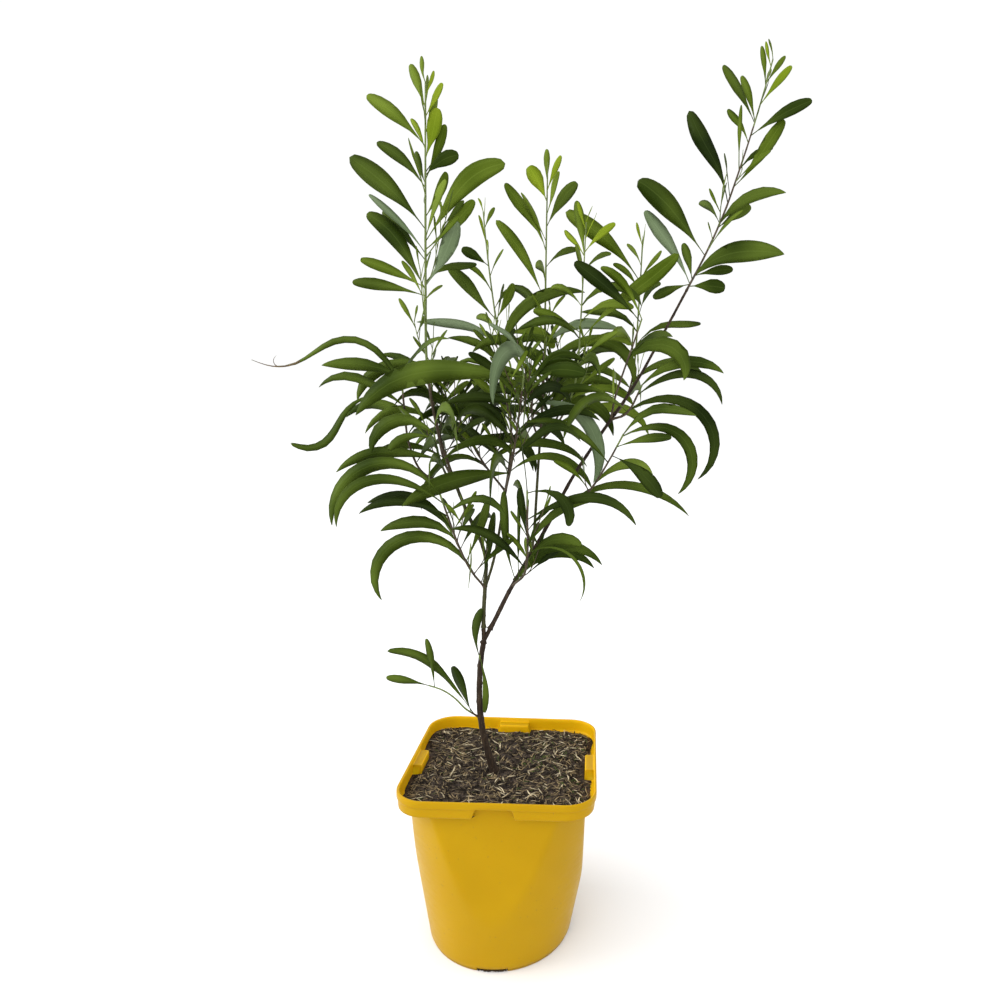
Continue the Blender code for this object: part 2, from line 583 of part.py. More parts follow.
def leaf_rings(frames, leaf, spare=0):
    """Three-sided sections of the blade, or with some spare a box all round it."""
    length = leaf["length"] * MM
    thickness = max(LEAF_THINNEST, LEAF_THICKNESS_SHARE * length)
    steps = next(steps for limit, steps in LEAF_RINGS.items() if length <= limit)
    rings = []
    for step in steps:
        point, across, out = frames[step]
        side = across * (blade_width(step / LEAF_STEPS, leaf["width"] * MM, length) / 2 + spare)
        back = -out * (thickness / 3 + spare)
        front = out * (thickness * 2 / 3 + spare)
        if spare:
            rings.append([point + side + back, point - side + back, point - side + front, point + side + front])
        else:
            rings.append([point + side + back, point - side + back, point + front])
    return rings


def tree_of(rings):
    """A search tree, in millimetres, over the skin of a body given by its rings."""
    count = len(rings[0])
    verts = [corner / MM for ring in rings for corner in ring]
    faces = [tuple(range(count)), tuple(range(len(verts) - count, len(verts)))]
    for ring in range(len(rings) - 1):
        for side in range(count):
            low = ring * count + side
            low_next = ring * count + (side + 1) % count
            faces.append((low, low_next, low_next + count))
            faces.append((low, low_next + count, low + count))
            faces.append((low, low_next, low + count))
            faces.append((low_next, low_next + count, low + count))
    return BVHTree.FromPolygons(verts, faces)


def grown_leaves(row):
    """The seeded rule: leaves round the stem by the golden angle, young at the tip."""
    draw = random.Random(row.get("seed"))
    for index in range(row.get("leaves", 0)):
        age = index / max(row["leaves"] - 1, 1)
        jitter = [draw.uniform(-1, 1) for _ in range(7)]
        mix = lambda pair: pair[0] + (pair[1] - pair[0]) * age
        length = mix(row["long"]) * (1 + 0.14 * jitter[0])
        yield dict(at=row["start"] + (1 - row["start"]) * age,
                   heading=row["first"] + GOLDEN_ANGLE * index + 14 * jitter[1],
                   rise=mix(row["rise_out"]) + 8 * jitter[2], fall=mix(row["fall"]) + 26 * jitter[3],
                   length=length, width=length * mix(row["width"]) * (1 + 0.12 * jitter[4]),
                   twist=38 * jitter[5], turn=22 * jitter[6], dip=20 * jitter[6])


def outline_leaves(row):
    """The outline leaves of a shoot; an eighth size, where there is one, is a dip."""
    for sizes in OUTLINE_LEAVES.get(row["name"], ()):
        at, heading, rise, fall, length, width, twist = sizes[:7]
        dip = sizes[7] if len(sizes) > 7 else 0
        yield dict(at=at, heading=heading, rise=rise, fall=fall, length=length, width=width, twist=twist,
                   turn=0, dip=dip)


def place_leaf(stem, leaf, row, own, others):
    """The leaf's rings where it keeps clear of everything else, or None."""
    point, way, radius = stem.at(leaf["at"])
    for turn in TRY_TURNS:
        tried = dict(leaf, heading=leaf["heading"] + turn)
        root = point - way_of(tried["heading"], tried["rise"]) * radius * 0.6
        frames = leaf_frames(root, tried)
        reach = row["reach"] * MM
        if min(spot.z for spot, across, out in frames) < LOWEST_LEAF:
            continue
        if min((frames[-1][0] - spot).length for spot in stem.points) > reach:
            continue
        wide = leaf_rings(frames, tried, LEAF_CLEARANCE)
        if any(tree_of(wide).overlap(tree) for tree in others):
            continue
        outer = tree_of(wide[1:])
        if any(outer.overlap(tree) for tree in own):
            continue
        return leaf_rings(frames, tried)
    return None


def make_plant():
    """Trunk, boughs and leafy shoots, each its own solid, no two of them touching."""
    brown = material("bark_brown", BARK_BROWN, 0.7)
    green = material("bark_green", BARK_GREEN, 0.6)
    foliage = material("leaf_green", LEAF_GREEN, 0.45)
    body, stems = make_trunk(brown)
    skin = [tuple(face.vertices) for face in body.data.polygons]
    limb_trees = [BVHTree.FromPolygons([vert.co / MM for vert in body.data.vertices], skin)]
    for row in BOUGHS:
        stem = Stem(*next_foot(stems[row["on"]], row), row, LIMB_STEPS)
        rings = stem.rings(LIMB_SIDES)
        add_object(row["name"], swept_mesh(row["name"], rings), brown if "right" in row["name"] else green)
        stems[row["name"]] = stem
        limb_trees.append(tree_of(rings))

    masses = {}
    for row in SHOOTS:
        stem = Stem(*next_foot(stems[row["on"]], row), row, max(4, int(row["length"] * MM / TWIG_STEP)))
        rings = stem.rings(TWIG_SIDES)
        masses[row["name"]] = dict(stem=stem, rings=[rings], trees=[tree_of(rings)])
    for rule in (outline_leaves, grown_leaves):
        for row in SHOOTS:
            mass = masses[row["name"]]
            others = limb_trees + [tree for name, other in masses.items() if name != row["name"]
                                   for tree in other["trees"]]
            for leaf in rule(row):
                rings = place_leaf(mass["stem"], leaf, row, mass["trees"][1:], others)
                if rings:
                    mass["rings"].append(rings)
                    mass["trees"].append(tree_of(rings))
    for name, mass in masses.items():
        pieces = [add_object(name, swept_mesh(name, mass["rings"][0]))]
        pieces += [add_object(name, swept_mesh(name, rings, BLADE_ORDER)) for rings in mass["rings"][1:]]
        apply_boolean(pieces[0], "UNION", pieces[1:])
        keep_main_body(pieces[0].data)
        pieces[0].name = name
        pieces[0].data.materials.clear()
        pieces[0].data.materials.append(foliage)


def shade(item):
    item.data.shade_smooth()
    item.data.set_sharp_from_angle(angle=math.radians(40))


clear_scene()
shade(make_pot())
make_soil()
make_plant()
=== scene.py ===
# %% [markdown]
# # A potted acacia
# The plant is a young wattle: a thin forked trunk, long upright shoots and flat leaf stalks
# that do the work of leaves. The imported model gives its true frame: where the pot stands,
# where each limb runs and how far each shoot reaches. Everything below is put on that frame,
# in metres, so nothing has to be fitted by eye afterwards.

# %% Load the frame
import math
import random

import bmesh
import bpy
import numpy as np
from mathutils import Matrix, Vector, noise
from mathutils.bvhtree import BVHTree


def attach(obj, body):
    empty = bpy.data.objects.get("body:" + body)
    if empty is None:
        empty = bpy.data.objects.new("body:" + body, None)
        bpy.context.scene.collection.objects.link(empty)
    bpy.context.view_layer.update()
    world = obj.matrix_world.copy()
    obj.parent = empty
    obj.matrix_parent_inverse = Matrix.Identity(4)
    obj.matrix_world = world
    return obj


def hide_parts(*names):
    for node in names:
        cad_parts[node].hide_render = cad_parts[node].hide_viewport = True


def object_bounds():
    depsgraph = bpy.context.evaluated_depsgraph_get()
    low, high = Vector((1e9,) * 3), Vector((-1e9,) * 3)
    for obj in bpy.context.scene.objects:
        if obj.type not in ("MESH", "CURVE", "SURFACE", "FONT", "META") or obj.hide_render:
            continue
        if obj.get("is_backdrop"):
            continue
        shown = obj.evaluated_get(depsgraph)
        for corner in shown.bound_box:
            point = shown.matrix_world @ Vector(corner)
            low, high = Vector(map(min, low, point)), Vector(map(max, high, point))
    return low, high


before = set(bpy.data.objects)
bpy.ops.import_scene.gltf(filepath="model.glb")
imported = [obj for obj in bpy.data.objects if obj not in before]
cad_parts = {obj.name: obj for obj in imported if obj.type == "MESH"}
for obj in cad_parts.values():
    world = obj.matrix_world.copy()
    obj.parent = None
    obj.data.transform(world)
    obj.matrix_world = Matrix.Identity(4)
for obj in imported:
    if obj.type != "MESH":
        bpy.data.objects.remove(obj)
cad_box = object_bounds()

MM = 0.001
print("nodes in the frame:", len(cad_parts))

# %% [markdown]
# ## Camera
# The camera stands where the photographer stood, worked out from the four corners of the
# pot's rim. A camera could also be pointed with a constraint, but three plain angles can be
# checked against the picture one by one: heading, pitch and a slight roll. The subject is
# left of the lens axis in the picture, so the lens is shifted by that much and no more.

# %% Camera
CAMERA_PLACE = Vector((68.6, -640.5, 486.7)) * MM
CAMERA_HEADING, CAMERA_PITCH, CAMERA_ROLL = (math.radians(angle) for angle in (1.38, 6.46, 2.33))
FRAME_PX = 1000
FOCAL_PX = 709.35
AXIS_PX = 605
SENSOR_MM = 36

forward = Vector((math.sin(CAMERA_HEADING) * math.cos(CAMERA_PITCH),
                  math.cos(CAMERA_HEADING) * math.cos(CAMERA_PITCH), -math.sin(CAMERA_PITCH)))
level_right = Vector((math.cos(CAMERA_HEADING), -math.sin(CAMERA_HEADING), 0))
level_up = level_right.cross(forward)
right = level_right * math.cos(CAMERA_ROLL) + level_up * math.sin(CAMERA_ROLL)
upward = level_up * math.cos(CAMERA_ROLL) - level_right * math.sin(CAMERA_ROLL)
lens = bpy.data.cameras.new("photo_camera")
lens.sensor_width = SENSOR_MM
lens.lens = FOCAL_PX * SENSOR_MM / FRAME_PX
lens.shift_x = (FRAME_PX / 2 - AXIS_PX) / FRAME_PX
lens.clip_start = 0.01
camera = bpy.data.objects.new("photo_camera", lens)
camera_turn = Matrix((right, upward, -forward)).transposed()
camera.matrix_world = Matrix.LocRotScale(CAMERA_PLACE, camera_turn, None)
bpy.context.scene.collection.objects.link(camera)
bpy.context.scene.camera = camera
print("lens:", round(lens.lens, 2), "mm, shift", round(lens.shift_x, 3))

# %% [markdown]
# ## Floor and light
# Plants are photographed in soft light that comes from all round, with a little more from
# one side to give the leaves form. A white world does the first. A large lamp on the left, a
# hazy sun from the front left and a weak cool lamp on the right do the second, and a pale
# floor catches the pot's faint shadow. The floor is marked as stage, because it isn't part
# of the plant.

# %% Helpers for new objects
def add_object(name, mesh, *finishes):
    """Put a mesh in the scene as an object at the origin, with its finishes."""
    made = bpy.data.objects.new(name, mesh)
    bpy.context.scene.collection.objects.link(made)
    for finish in finishes:
        mesh.materials.append(finish)
    return made


def mesh_of(name, bm):
    """Turn a finished bmesh into a mesh with smooth faces."""
    mesh = bpy.data.meshes.new(name)
    bm.to_mesh(mesh)
    bm.free()
    mesh.shade_smooth()
    return mesh


# %% Floor and light
FLOOR_SIZE = 40.0
SKY_STRENGTH = 1.03
FLOOR_GREY = (0.82, 0.82, 0.82)
SUN_FROM = (-0.55, -0.75, 0.95)
SUN_STRENGTH, SUN_ANGLE = 1.65, 1.4
WINDOW_PLACE, WINDOW_WATTS, WINDOW_SIZE = (-1.7, -0.15, 1.1), 21, 1.5
SIDE_PLACE, SIDE_WATTS, SIDE_SIZE = (1.6, 0.1, 0.8), 4, 0.9
SIDE_TINT = (0.93, 0.92, 1.0)


def plain_finish(name, colour, roughness):
    """A principled shader with its colour and roughness set on its own sockets."""
    made = bpy.data.materials.new(name)
    made.use_nodes = True
    shader = made.node_tree.nodes["Principled BSDF"]
    shader.inputs["Base Color"].default_value = (*colour, 1)
    shader.inputs["Roughness"].default_value = roughness
    return made, made.node_tree, shader


bm = bmesh.new()
bmesh.ops.create_grid(bm, x_segments=1, y_segments=1, size=FLOOR_SIZE / 2)
floor_paint, _, floor_shader = plain_finish("floor_paint", FLOOR_GREY, 1.0)
floor_shader.inputs["Specular IOR Level"].default_value = 0
floor = add_object("floor", mesh_of("floor", bm), floor_paint)
floor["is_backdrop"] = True

bpy.context.scene.view_settings.view_transform = "Standard"
world = bpy.data.worlds.new("studio")
world.use_nodes = True
sky = world.node_tree.nodes["Background"]
sky.inputs["Color"].default_value = (1, 1, 1, 1)
sky.inputs["Strength"].default_value = SKY_STRENGTH
bpy.context.scene.world = world


def add_lamp(name, kind, place, aim, energy, **settings):
    """A lamp of this kind at a place, turned towards what it lights."""
    light = bpy.data.lights.new(name, kind)
    light.energy = energy
    for setting, value in settings.items():
        setattr(light, setting, value)
    lamp = bpy.data.objects.new(name, light)
    lamp.location = place
    lamp.rotation_euler = (Vector(aim) - Vector(place)).to_track_quat("-Z", "Y").to_euler()
    bpy.context.scene.collection.objects.link(lamp)


add_lamp("window_lamp", "AREA", WINDOW_PLACE, (0, 0, 0.25), WINDOW_WATTS, size=WINDOW_SIZE)
add_lamp("side_lamp", "AREA", SIDE_PLACE, (0, 0, 0.2), SIDE_WATTS, size=SIDE_SIZE, color=SIDE_TINT)
add_lamp("hazy_sun", "SUN", SUN_FROM, (0, 0, 0), SUN_STRENGTH, angle=SUN_ANGLE)

# %% [markdown]
# ## Pot
# The real pot is injection moulded: one wall of even thickness, a cone at the foot that four
# upright faces cut into, a collar that steps out, and a lip. Each face of the collar has a
# pocket in its middle, where the wall runs straight up under the lip. A cone with Boolean
# cuts would give the shape, but not clean rounded edges. One ring of points that is extruded
# from level to level gives both: each level only has to say where its ring lies, and an edge
# is rounded by two or three levels close together.

# %% Pot sizes
POT_HEIGHT = 168 * MM
RIM_HALF = 85 * MM
RIM_CORNER = 26 * MM
RIM_STRAIGHT = RIM_HALF - RIM_CORNER
LIP_HEIGHT = 6 * MM
LIP_OVERHANG = 0.8 * MM
COLLAR_HEIGHT = 15 * MM
COLLAR_DRAFT = 0.8 * MM
BASE_RADIUS = 66.5 * MM
SHOULDER_RADIUS = 93.5 * MM
FACE_HALF_FOOT = 76.0 * MM
FACE_HALF_TOP = 76.8 * MM
CREASE = 1.6 * MM
WALL = 1.5 * MM
POT_FLOOR = 5 * MM
FOOT_HEIGHT = 3.3 * MM
FOOT_INSET = 1.0 * MM
LEDGE_TOP = 0.4 * MM
NOTCH_DEPTH = 7 * MM
POCKET_TOP_HALF = 15.25 * MM
POCKET_FOOT_HALF = 18.0 * MM
POCKET_MARGIN = 1.2 * MM
POCKET_INSIDE_STEPS = 6
FLANK_STEPS = 12
CORNER_STEPS = 12
# The rounded end of a pocket: mm beyond its half width, and how far out from its wall.
POCKET_END = ((0.8, 1.0), (0.25, 0.97), (0.0, 0.9), (-0.3, 0.1), (-0.55, 0.03), (-1.2, 0.0))
shoulder = POT_HEIGHT - COLLAR_HEIGHT


def pocket_half(height):
    """Half the pocket's width: its slanted ends come together towards the lip."""
    share = min(max((height - shoulder) / (COLLAR_HEIGHT - LIP_HEIGHT), 0), 1)
    return POCKET_FOOT_HALF + (POCKET_TOP_HALF - POCKET_FOOT_HALF) * share


def pot_columns():
    """The ring's columns over one quarter: which part of the rim each one belongs to."""
    side = [("flank", 1 - step / FLANK_STEPS) for step in range(FLANK_STEPS)]
    side += [("end", entry) for entry in POCKET_END]
    left = [(kind, value, -1) for kind, value in side]
    inside = [("inside", -1 + 2 * (step + 1) / (POCKET_INSIDE_STEPS + 1), 1)
              for step in range(POCKET_INSIDE_STEPS)]
    back = [(kind, value, 1) for kind, value in reversed(side)]
    corner = [("corner", (step + 1) / CORNER_STEPS, 1) for step in range(CORNER_STEPS - 1)]
    return [(quarter, *column) for quarter in range(4) for column in left + inside + back + corner]


columns = pot_columns()
print("columns round the pot:", len(columns))


# %% Where a ring of the pot lies
def rim_point(column, half, pocket_plane, height):
    """A column's place on the square rim; pocket_plane is where the pocket's wall stands."""
    quarter, kind, value, sign = column
    width = pocket_half(height)
    plane = half if pocket_plane is None else pocket_plane
    if kind == "flank":
        out, along = half, sign * (width + MM + (RIM_STRAIGHT - width - MM) * value)
    elif kind == "end":
        step, mix = value
        out, along = plane + (half - plane) * mix, sign * (width + step * MM)
    elif kind == "inside":
        out, along = plane, value * (width - POCKET_MARGIN)
    else:
        radius = half - RIM_STRAIGHT
        turn = math.radians(90 * value)
        out, along = RIM_STRAIGHT + radius * math.cos(turn), RIM_STRAIGHT + radius * math.sin(turn)
    turn = math.radians(90 * quarter)
    return Vector((out * math.cos(turn) - along * math.sin(turn),
                   out * math.sin(turn) + along * math.cos(turn), height))


def body_point(column, height, inset=0.0):
    """A column's place on the wall: the cone or the upright face, softly joined."""
    over = rim_point(column, RIM_HALF, None, shoulder)
    turn = math.atan2(over.y, over.x)
    share = height / shoulder
    cone = BASE_RADIUS + (SHOULDER_RADIUS - BASE_RADIUS) * share - inset
    face = FACE_HALF_FOOT + (FACE_HALF_TOP - FACE_HALF_FOOT) * share - inset
    flat = face / max(abs(math.cos(turn)), abs(math.sin(turn)))
    blend = max(CREASE - abs(cone - flat), 0) / CREASE
    radius = min(cone, flat) - blend * blend * CREASE / 4
    return Vector((radius * math.cos(turn), radius * math.sin(turn), height))


def foot_point(column, height):
    """The foot's ledge; under the middle of each face it is cut away for drainage."""
    place = body_point(column, height, FOOT_INSET)
    kind, value = column[1], column[2]
    cut = 1 if kind == "inside" else 1 - value[1] if kind == "end" else 0
    place.xy *= 1 - cut * NOTCH_DEPTH / place.xy.length
    return place


# %% Whole rings of the pot
def rim_ring(half, pocket_plane, height):
    """All columns on the square rim at one height."""
    return [rim_point(column, half, pocket_plane, height) for column in columns]


def body_ring(height, inset=0.0):
    """All columns on the wall at one height, or this far inside it."""
    return [body_point(column, height, inset) for column in columns]


def foot_ring(height):
    """All columns on the ledge and in the notches of the foot."""
    return [foot_point(column, height) for column in columns]


def ring_between(low, high, share, height):
    """A ring part of the way from one ring to another, at its own height."""
    places = [start.lerp(end, share) for start, end in zip(low, high)]
    for place in places:
        place.z = height
    return places


# %% Levels of the pot
BODY_LEVELS = 46
EDGE_SOFT = 0.2 * MM
# Steps out from wall to collar: share of the way, and mm above the shoulder.
SHOULDER_STEPS = ((0.04, -0.1), (0.93, 0.0), (1.0, 0.4))
COLLAR_SHARES = (0.2, 0.45, 0.7, 0.96)
# Outside and inside of the lip: mm in from its outer or inner face, and mm above its foot.
LIP_OUTSIDE = ((0, 0.4), (0, 2.6), (0, 5.0), (0.25, 5.7), (0.8, 6.0), (1.5, 5.95))
LIP_INSIDE = ((0.4, 5.7), (0.1, 5.3))
# The shelf inside, over each pocket: share of the way in, and mm above the lip's foot.
SHELF_STEPS = ((0.0, 2.2), (0.1, 1.75), (0.5, 1.6), (0.9, 1.4), (1.0, 0.9))


def pot_levels():
    """Every ring of the pot from its underside, up the outside and down the inside."""
    lip_foot = POT_HEIGHT - LIP_HEIGHT
    lip = RIM_HALF + LIP_OVERHANG
    collar_foot = RIM_HALF - COLLAR_DRAFT
    inner = RIM_HALF - WALL
    inner_plane = FACE_HALF_TOP - WALL
    for height in (0, FOOT_HEIGHT - EDGE_SOFT, FOOT_HEIGHT):
        yield foot_ring(height)
    yield ring_between(foot_ring(FOOT_HEIGHT), body_ring(FOOT_HEIGHT), 0.9, FOOT_HEIGHT)
    for level in range(BODY_LEVELS + 1):
        yield body_ring(FOOT_HEIGHT + LEDGE_TOP + (shoulder - FOOT_HEIGHT - MM) * level / BODY_LEVELS)
    wall, collar = body_ring(shoulder), rim_ring(collar_foot, FACE_HALF_TOP, shoulder)
    for share, height in SHOULDER_STEPS:
        yield ring_between(wall, collar, share, shoulder + height * MM)
    for share in COLLAR_SHARES:
        height = shoulder + share * (COLLAR_HEIGHT - LIP_HEIGHT)
        yield rim_ring(collar_foot + (RIM_HALF - collar_foot) * share, FACE_HALF_TOP, height)
    collar, overhang = rim_ring(RIM_HALF, FACE_HALF_TOP, lip_foot), rim_ring(lip, None, lip_foot)
    for share in (0.1, 0.92):
        yield ring_between(collar, overhang, share, lip_foot)
    for inset, height in LIP_OUTSIDE:
        yield rim_ring(lip - inset * MM, None, lip_foot + height * MM)
    for inset, height in LIP_INSIDE:
        yield rim_ring(inner + inset * MM, None, lip_foot + height * MM)
    square, pocketed = rim_ring(inner, None, lip_foot), rim_ring(inner, inner_plane, lip_foot)
    for share, height in SHELF_STEPS:
        yield ring_between(square, pocketed, share, lip_foot + height * MM)
    for height in (lip_foot - MM, shoulder + 5 * MM, shoulder + 2 * MM):
        yield rim_ring(inner, inner_plane, height)
    for height in (shoulder - MM, shoulder * 0.8, shoulder * 0.5, POT_FLOOR):
        yield body_ring(height, WALL)


# %% Pot mesh
def loop_edges(bm, verts):
    """The edges that join a closed loop of vertices."""
    return [bm.edges.get(pair) for pair in zip(verts, verts[1:] + verts[:1])]


def stack_rings(rings):
    """One closed body from a stack of rings: the first ring extruded level by level."""
    bm = bmesh.new()
    verts = bmesh.ops.create_circle(bm, cap_ends=True, segments=len(rings[0]), radius=1)["verts"]
    edges = loop_edges(bm, verts)
    for vert, place in zip(verts, rings[0]):
        vert.co = place
    for places in rings[1:]:
        grown = bmesh.ops.extrude_edge_only(bm, edges=edges)["geom"]
        fresh = {item for item in grown if isinstance(item, bmesh.types.BMVert)}
        verts = [next(end for edge in vert.link_edges if (end := edge.other_vert(vert)) in fresh)
                 for vert in verts]
        edges = loop_edges(bm, verts)
        for vert, place in zip(verts, places):
            vert.co = place
    bmesh.ops.contextual_create(bm, geom=edges)
    bmesh.ops.recalc_face_normals(bm, faces=bm.faces)
    return bm


pot_bm = stack_rings(list(pot_levels()))
print("pot faces:", len(pot_bm.faces))

# %% [markdown]
# ## Pot plastic
# The plastic is a mustard yellow all the way through, with a soft shine. What makes it real
# is small: the colour drifts a little, the skin has a fine orange-peel, there are a few
# fine scuffs, and specks of potting mix stick to it. Noise on object coordinates gives each
# of these at its own scale. Light also comes through the thin wall of the rim, so that its
# inner faces look brighter than the outside. Strong scattering inside the plastic would give
# that too, but it makes the whole pot look like wax, so the inner faces get a paler yellow
# instead, as a painted glow.

# %% Node helpers
def add_node(tree, kind, **inputs):
    """A node of this kind, with plain values set on its inputs by name."""
    made = tree.nodes.new(kind)
    for name, value in inputs.items():
        made.inputs[name.replace("_", " ")].default_value = value
    return made


def object_noise(tree, scale, detail=3.0, roughness=0.55, stretch=None):
    """Noise that is fixed to the object, with its grain in metres; stretch draws it out."""
    place = tree.nodes.new("ShaderNodeTexCoord")
    out = place.outputs["Object"]
    if stretch:
        mapping = add_node(tree, "ShaderNodeMapping", Scale=stretch)
        tree.links.new(out, mapping.inputs["Vector"])
        out = mapping.outputs["Vector"]
    grain = add_node(tree, "ShaderNodeTexNoise", Scale=scale, Detail=detail, Roughness=roughness)
    tree.links.new(out, grain.inputs["Vector"])
    return grain.outputs["Fac"]


def ramp(tree, source, stops):
    """Colours or greys over a value: stops are (position, colour)."""
    made = tree.nodes.new("ShaderNodeValToRGB")
    points = made.color_ramp.elements
    while len(points) < len(stops):
        points.new(0.5)
    for point, (position, colour) in zip(points, stops):
        point.position = position
        point.color = (*colour, 1) if isinstance(colour, tuple) else (colour, colour, colour, 1)
    tree.links.new(source, made.inputs["Fac"])
    return made.outputs["Color"]


def blend_colours(tree, amount, low, high):
    """Mix two colours by a value; each may be a colour or another node's output."""
    made = tree.nodes.new("ShaderNodeMix")
    made.data_type = "RGBA"
    tree.links.new(amount, made.inputs[0])
    for socket, value in ((made.inputs[6], low), (made.inputs[7], high)):
        if isinstance(value, tuple):
            socket.default_value = (*value, 1)
        else:
            tree.links.new(value, socket)
    return made.outputs[2]


def add_bump(tree, shader, source, strength, depth):
    """Raise the surface by a value, to a depth in metres."""
    made = add_node(tree, "ShaderNodeBump", Strength=strength, Distance=depth)
    tree.links.new(source, made.inputs["Height"])
    tree.links.new(made.outputs["Normal"], shader.inputs["Normal"])


# %% Pot plastic and pot
POT_YELLOW = (0.430, 0.250, 0.0020)
POT_DEEP = (0.395, 0.226, 0.0015)
# Paler yellow of the rim's inner faces: a painted glow for light that comes through the thin wall.
INSIDE_PAINTED_GLOW = (0.70, 0.40, 0.0040)
INSIDE_PAINTED_GLOW_DEEP = (0.62, 0.35, 0.0030)
POT_GLOSS = 0.07
POT_GLOW, POT_GLOW_DEPTH, POT_GLOW_REACH = 0.15, 3 * MM, (1.0, 0.45, 0.06)
POT_DIRT = (0.16, 0.10, 0.04)
# How fine each pattern is, as noise cells per metre.
DRIFT_GRAIN, SPECK_GRAIN, PATCH_GRAIN, SCUFF_GRAIN, PEEL_GRAIN = 14, 420, 32, 60, 260
PEEL_DEPTH = 0.4 * MM
INSIDE_FROM = 20 * MM


def pot_plastic(name, deep, yellow):
    """Yellow plastic with drift, orange-peel, scuffs and specks of dirt."""
    made, tree, shader = plain_finish(name, yellow, 0.4)
    shader.inputs["Specular IOR Level"].default_value = POT_GLOSS
    shader.inputs["Subsurface Weight"].default_value = POT_GLOW
    shader.inputs["Subsurface Radius"].default_value = POT_GLOW_REACH
    shader.inputs["Subsurface Scale"].default_value = POT_GLOW_DEPTH
    drift = ramp(tree, object_noise(tree, DRIFT_GRAIN, 2), ((0.3, deep), (0.7, yellow)))
    specks = ramp(tree, object_noise(tree, SPECK_GRAIN, 2, 0.6), ((0.69, 0.0), (0.75, 1.0)))
    patches = ramp(tree, object_noise(tree, PATCH_GRAIN, 3), ((0.46, 0.0), (0.62, 1.0)))
    both = tree.nodes.new("ShaderNodeMath")
    both.operation = "MULTIPLY"
    tree.links.new(specks, both.inputs[0])
    tree.links.new(patches, both.inputs[1])
    dirty = blend_colours(tree, both.outputs["Value"], drift, POT_DIRT)
    tree.links.new(dirty, shader.inputs["Base Color"])
    scuffs = ramp(tree, object_noise(tree, SCUFF_GRAIN, 4, 0.7, (1, 1, 6)), ((0.35, 0.30), (0.75, 0.46)))
    tree.links.new(scuffs, shader.inputs["Roughness"])
    add_bump(tree, shader, object_noise(tree, PEEL_GRAIN, 2), 0.16, PEEL_DEPTH)
    return made


# Inner faces of the rim above the shoulder take the paler yellow, a painted glow.
for face in pot_bm.faces:
    middle = face.calc_center_median()
    outward = face.normal.dot(middle) - face.normal.z * middle.z
    face.material_index = int(middle.z > shoulder and outward < -INSIDE_FROM)
pot = add_object("pot_moulding", mesh_of("pot_moulding", pot_bm),
                 pot_plastic("pot_plastic", POT_DEEP, POT_YELLOW),
                 pot_plastic("pot_plastic_inside", INSIDE_PAINTED_GLOW_DEEP, INSIDE_PAINTED_GLOW))
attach(pot, "root")
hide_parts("pot")
print("pot triangles:", sum(len(face.vertices) - 2 for face in pot.data.polygons))

# %% [markdown]
# ## Painted shade in the drainage notches
# The floor under each notch of the pot's foot lies in shade and shows as a dark line. A dark
# colour on the plastic would look like paint, so the painted shade is a few hundred dark
# flattened lumps, strewn under each notch and kept inside the pot's own foot.

# %% Dark lumps as painted shade in the notches
SHADE_LUMPS = 90
SHADE_LUMP_SPREAD = 0.235
SHADE_LUMP_SIZES, SHADE_LUMP_LENGTHS, SHADE_LUMP_FLATNESS = (0.8, 1.5), (0.9, 1.4), 0.8
SHADE_LUMP_INSETS = (1.2, 6.4)
# Dark colour of the lumps: painted shade for the floor under the notches.
NOTCH_PAINTED_SHADE = (0.045, 0.030, 0.016)


def notch_crumbs():
    """Small flattened dark lumps under the drainage notches, as painted shade."""
    bm = bmesh.new()
    draw = random.Random(31)
    for quarter in range(4):
        for _ in range(SHADE_LUMPS):
            turn = math.radians(90 * quarter) + SHADE_LUMP_SPREAD * draw.uniform(-1, 1)
            out = BASE_RADIUS - draw.uniform(*SHADE_LUMP_INSETS) * MM
            size = draw.uniform(*SHADE_LUMP_SIZES) * MM
            place = Matrix.Translation((out * math.cos(turn), out * math.sin(turn), SHADE_LUMP_FLATNESS * size))
            flat = Matrix.Diagonal((draw.uniform(*SHADE_LUMP_LENGTHS), draw.uniform(*SHADE_LUMP_LENGTHS),
                                    SHADE_LUMP_FLATNESS, 1))
            bmesh.ops.create_icosphere(bm, subdivisions=1, radius=size, matrix=place @ flat)
    return bm


# Painted shade: the dark lumps under the notches and their dark finish.
notch_painted_shade, _, notch_shade_shader = plain_finish("notch_painted_shade", NOTCH_PAINTED_SHADE, 0.9)
notch_shade_shader.inputs["Specular IOR Level"].default_value = 0.1
crumbs = add_object("notch_crumbs", mesh_of("notch_crumbs", notch_crumbs()), notch_painted_shade)
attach(crumbs, "root")
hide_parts("pot")

# %% [markdown]
# ## Potting mix
# The mix is dark composted bark, topped with a mat of straw and bark fibres. A textured flat
# top would look painted from the side, so the fibres are real: a few thousand thin bent
# splinters, each a short four-sided rod, lie in a heap on an uneven dark bed. They are made
# as arrays and joined by colour: dark bark, grey-brown fibre, tan straw, and some green.

# %% Bed of mix
SOIL_LEVEL = 156 * MM
SOIL_EDGE = 153.8 * MM
GAP = 0.3 * MM
BED_RINGS = 18
BED_HALF = RIM_HALF - WALL - GAP
BED_POCKET = FACE_HALF_TOP - WALL - GAP
TRUNK_FOOT = Vector((-9 * MM, -10 * MM, SOIL_LEVEL + GAP))
BED_ROUGH = 1.5 * MM
BED_EDGE_DROP, BED_EDGE_FROM, BED_EDGE_SHARE = 1.2 * MM, 0.8, 0.25
BED_SLOPE = 1.6 * MM
BED_LEVEL_ROUND_TRUNK = 14 * MM
BED_LUMPS, BED_CRUMBS = 70, 190


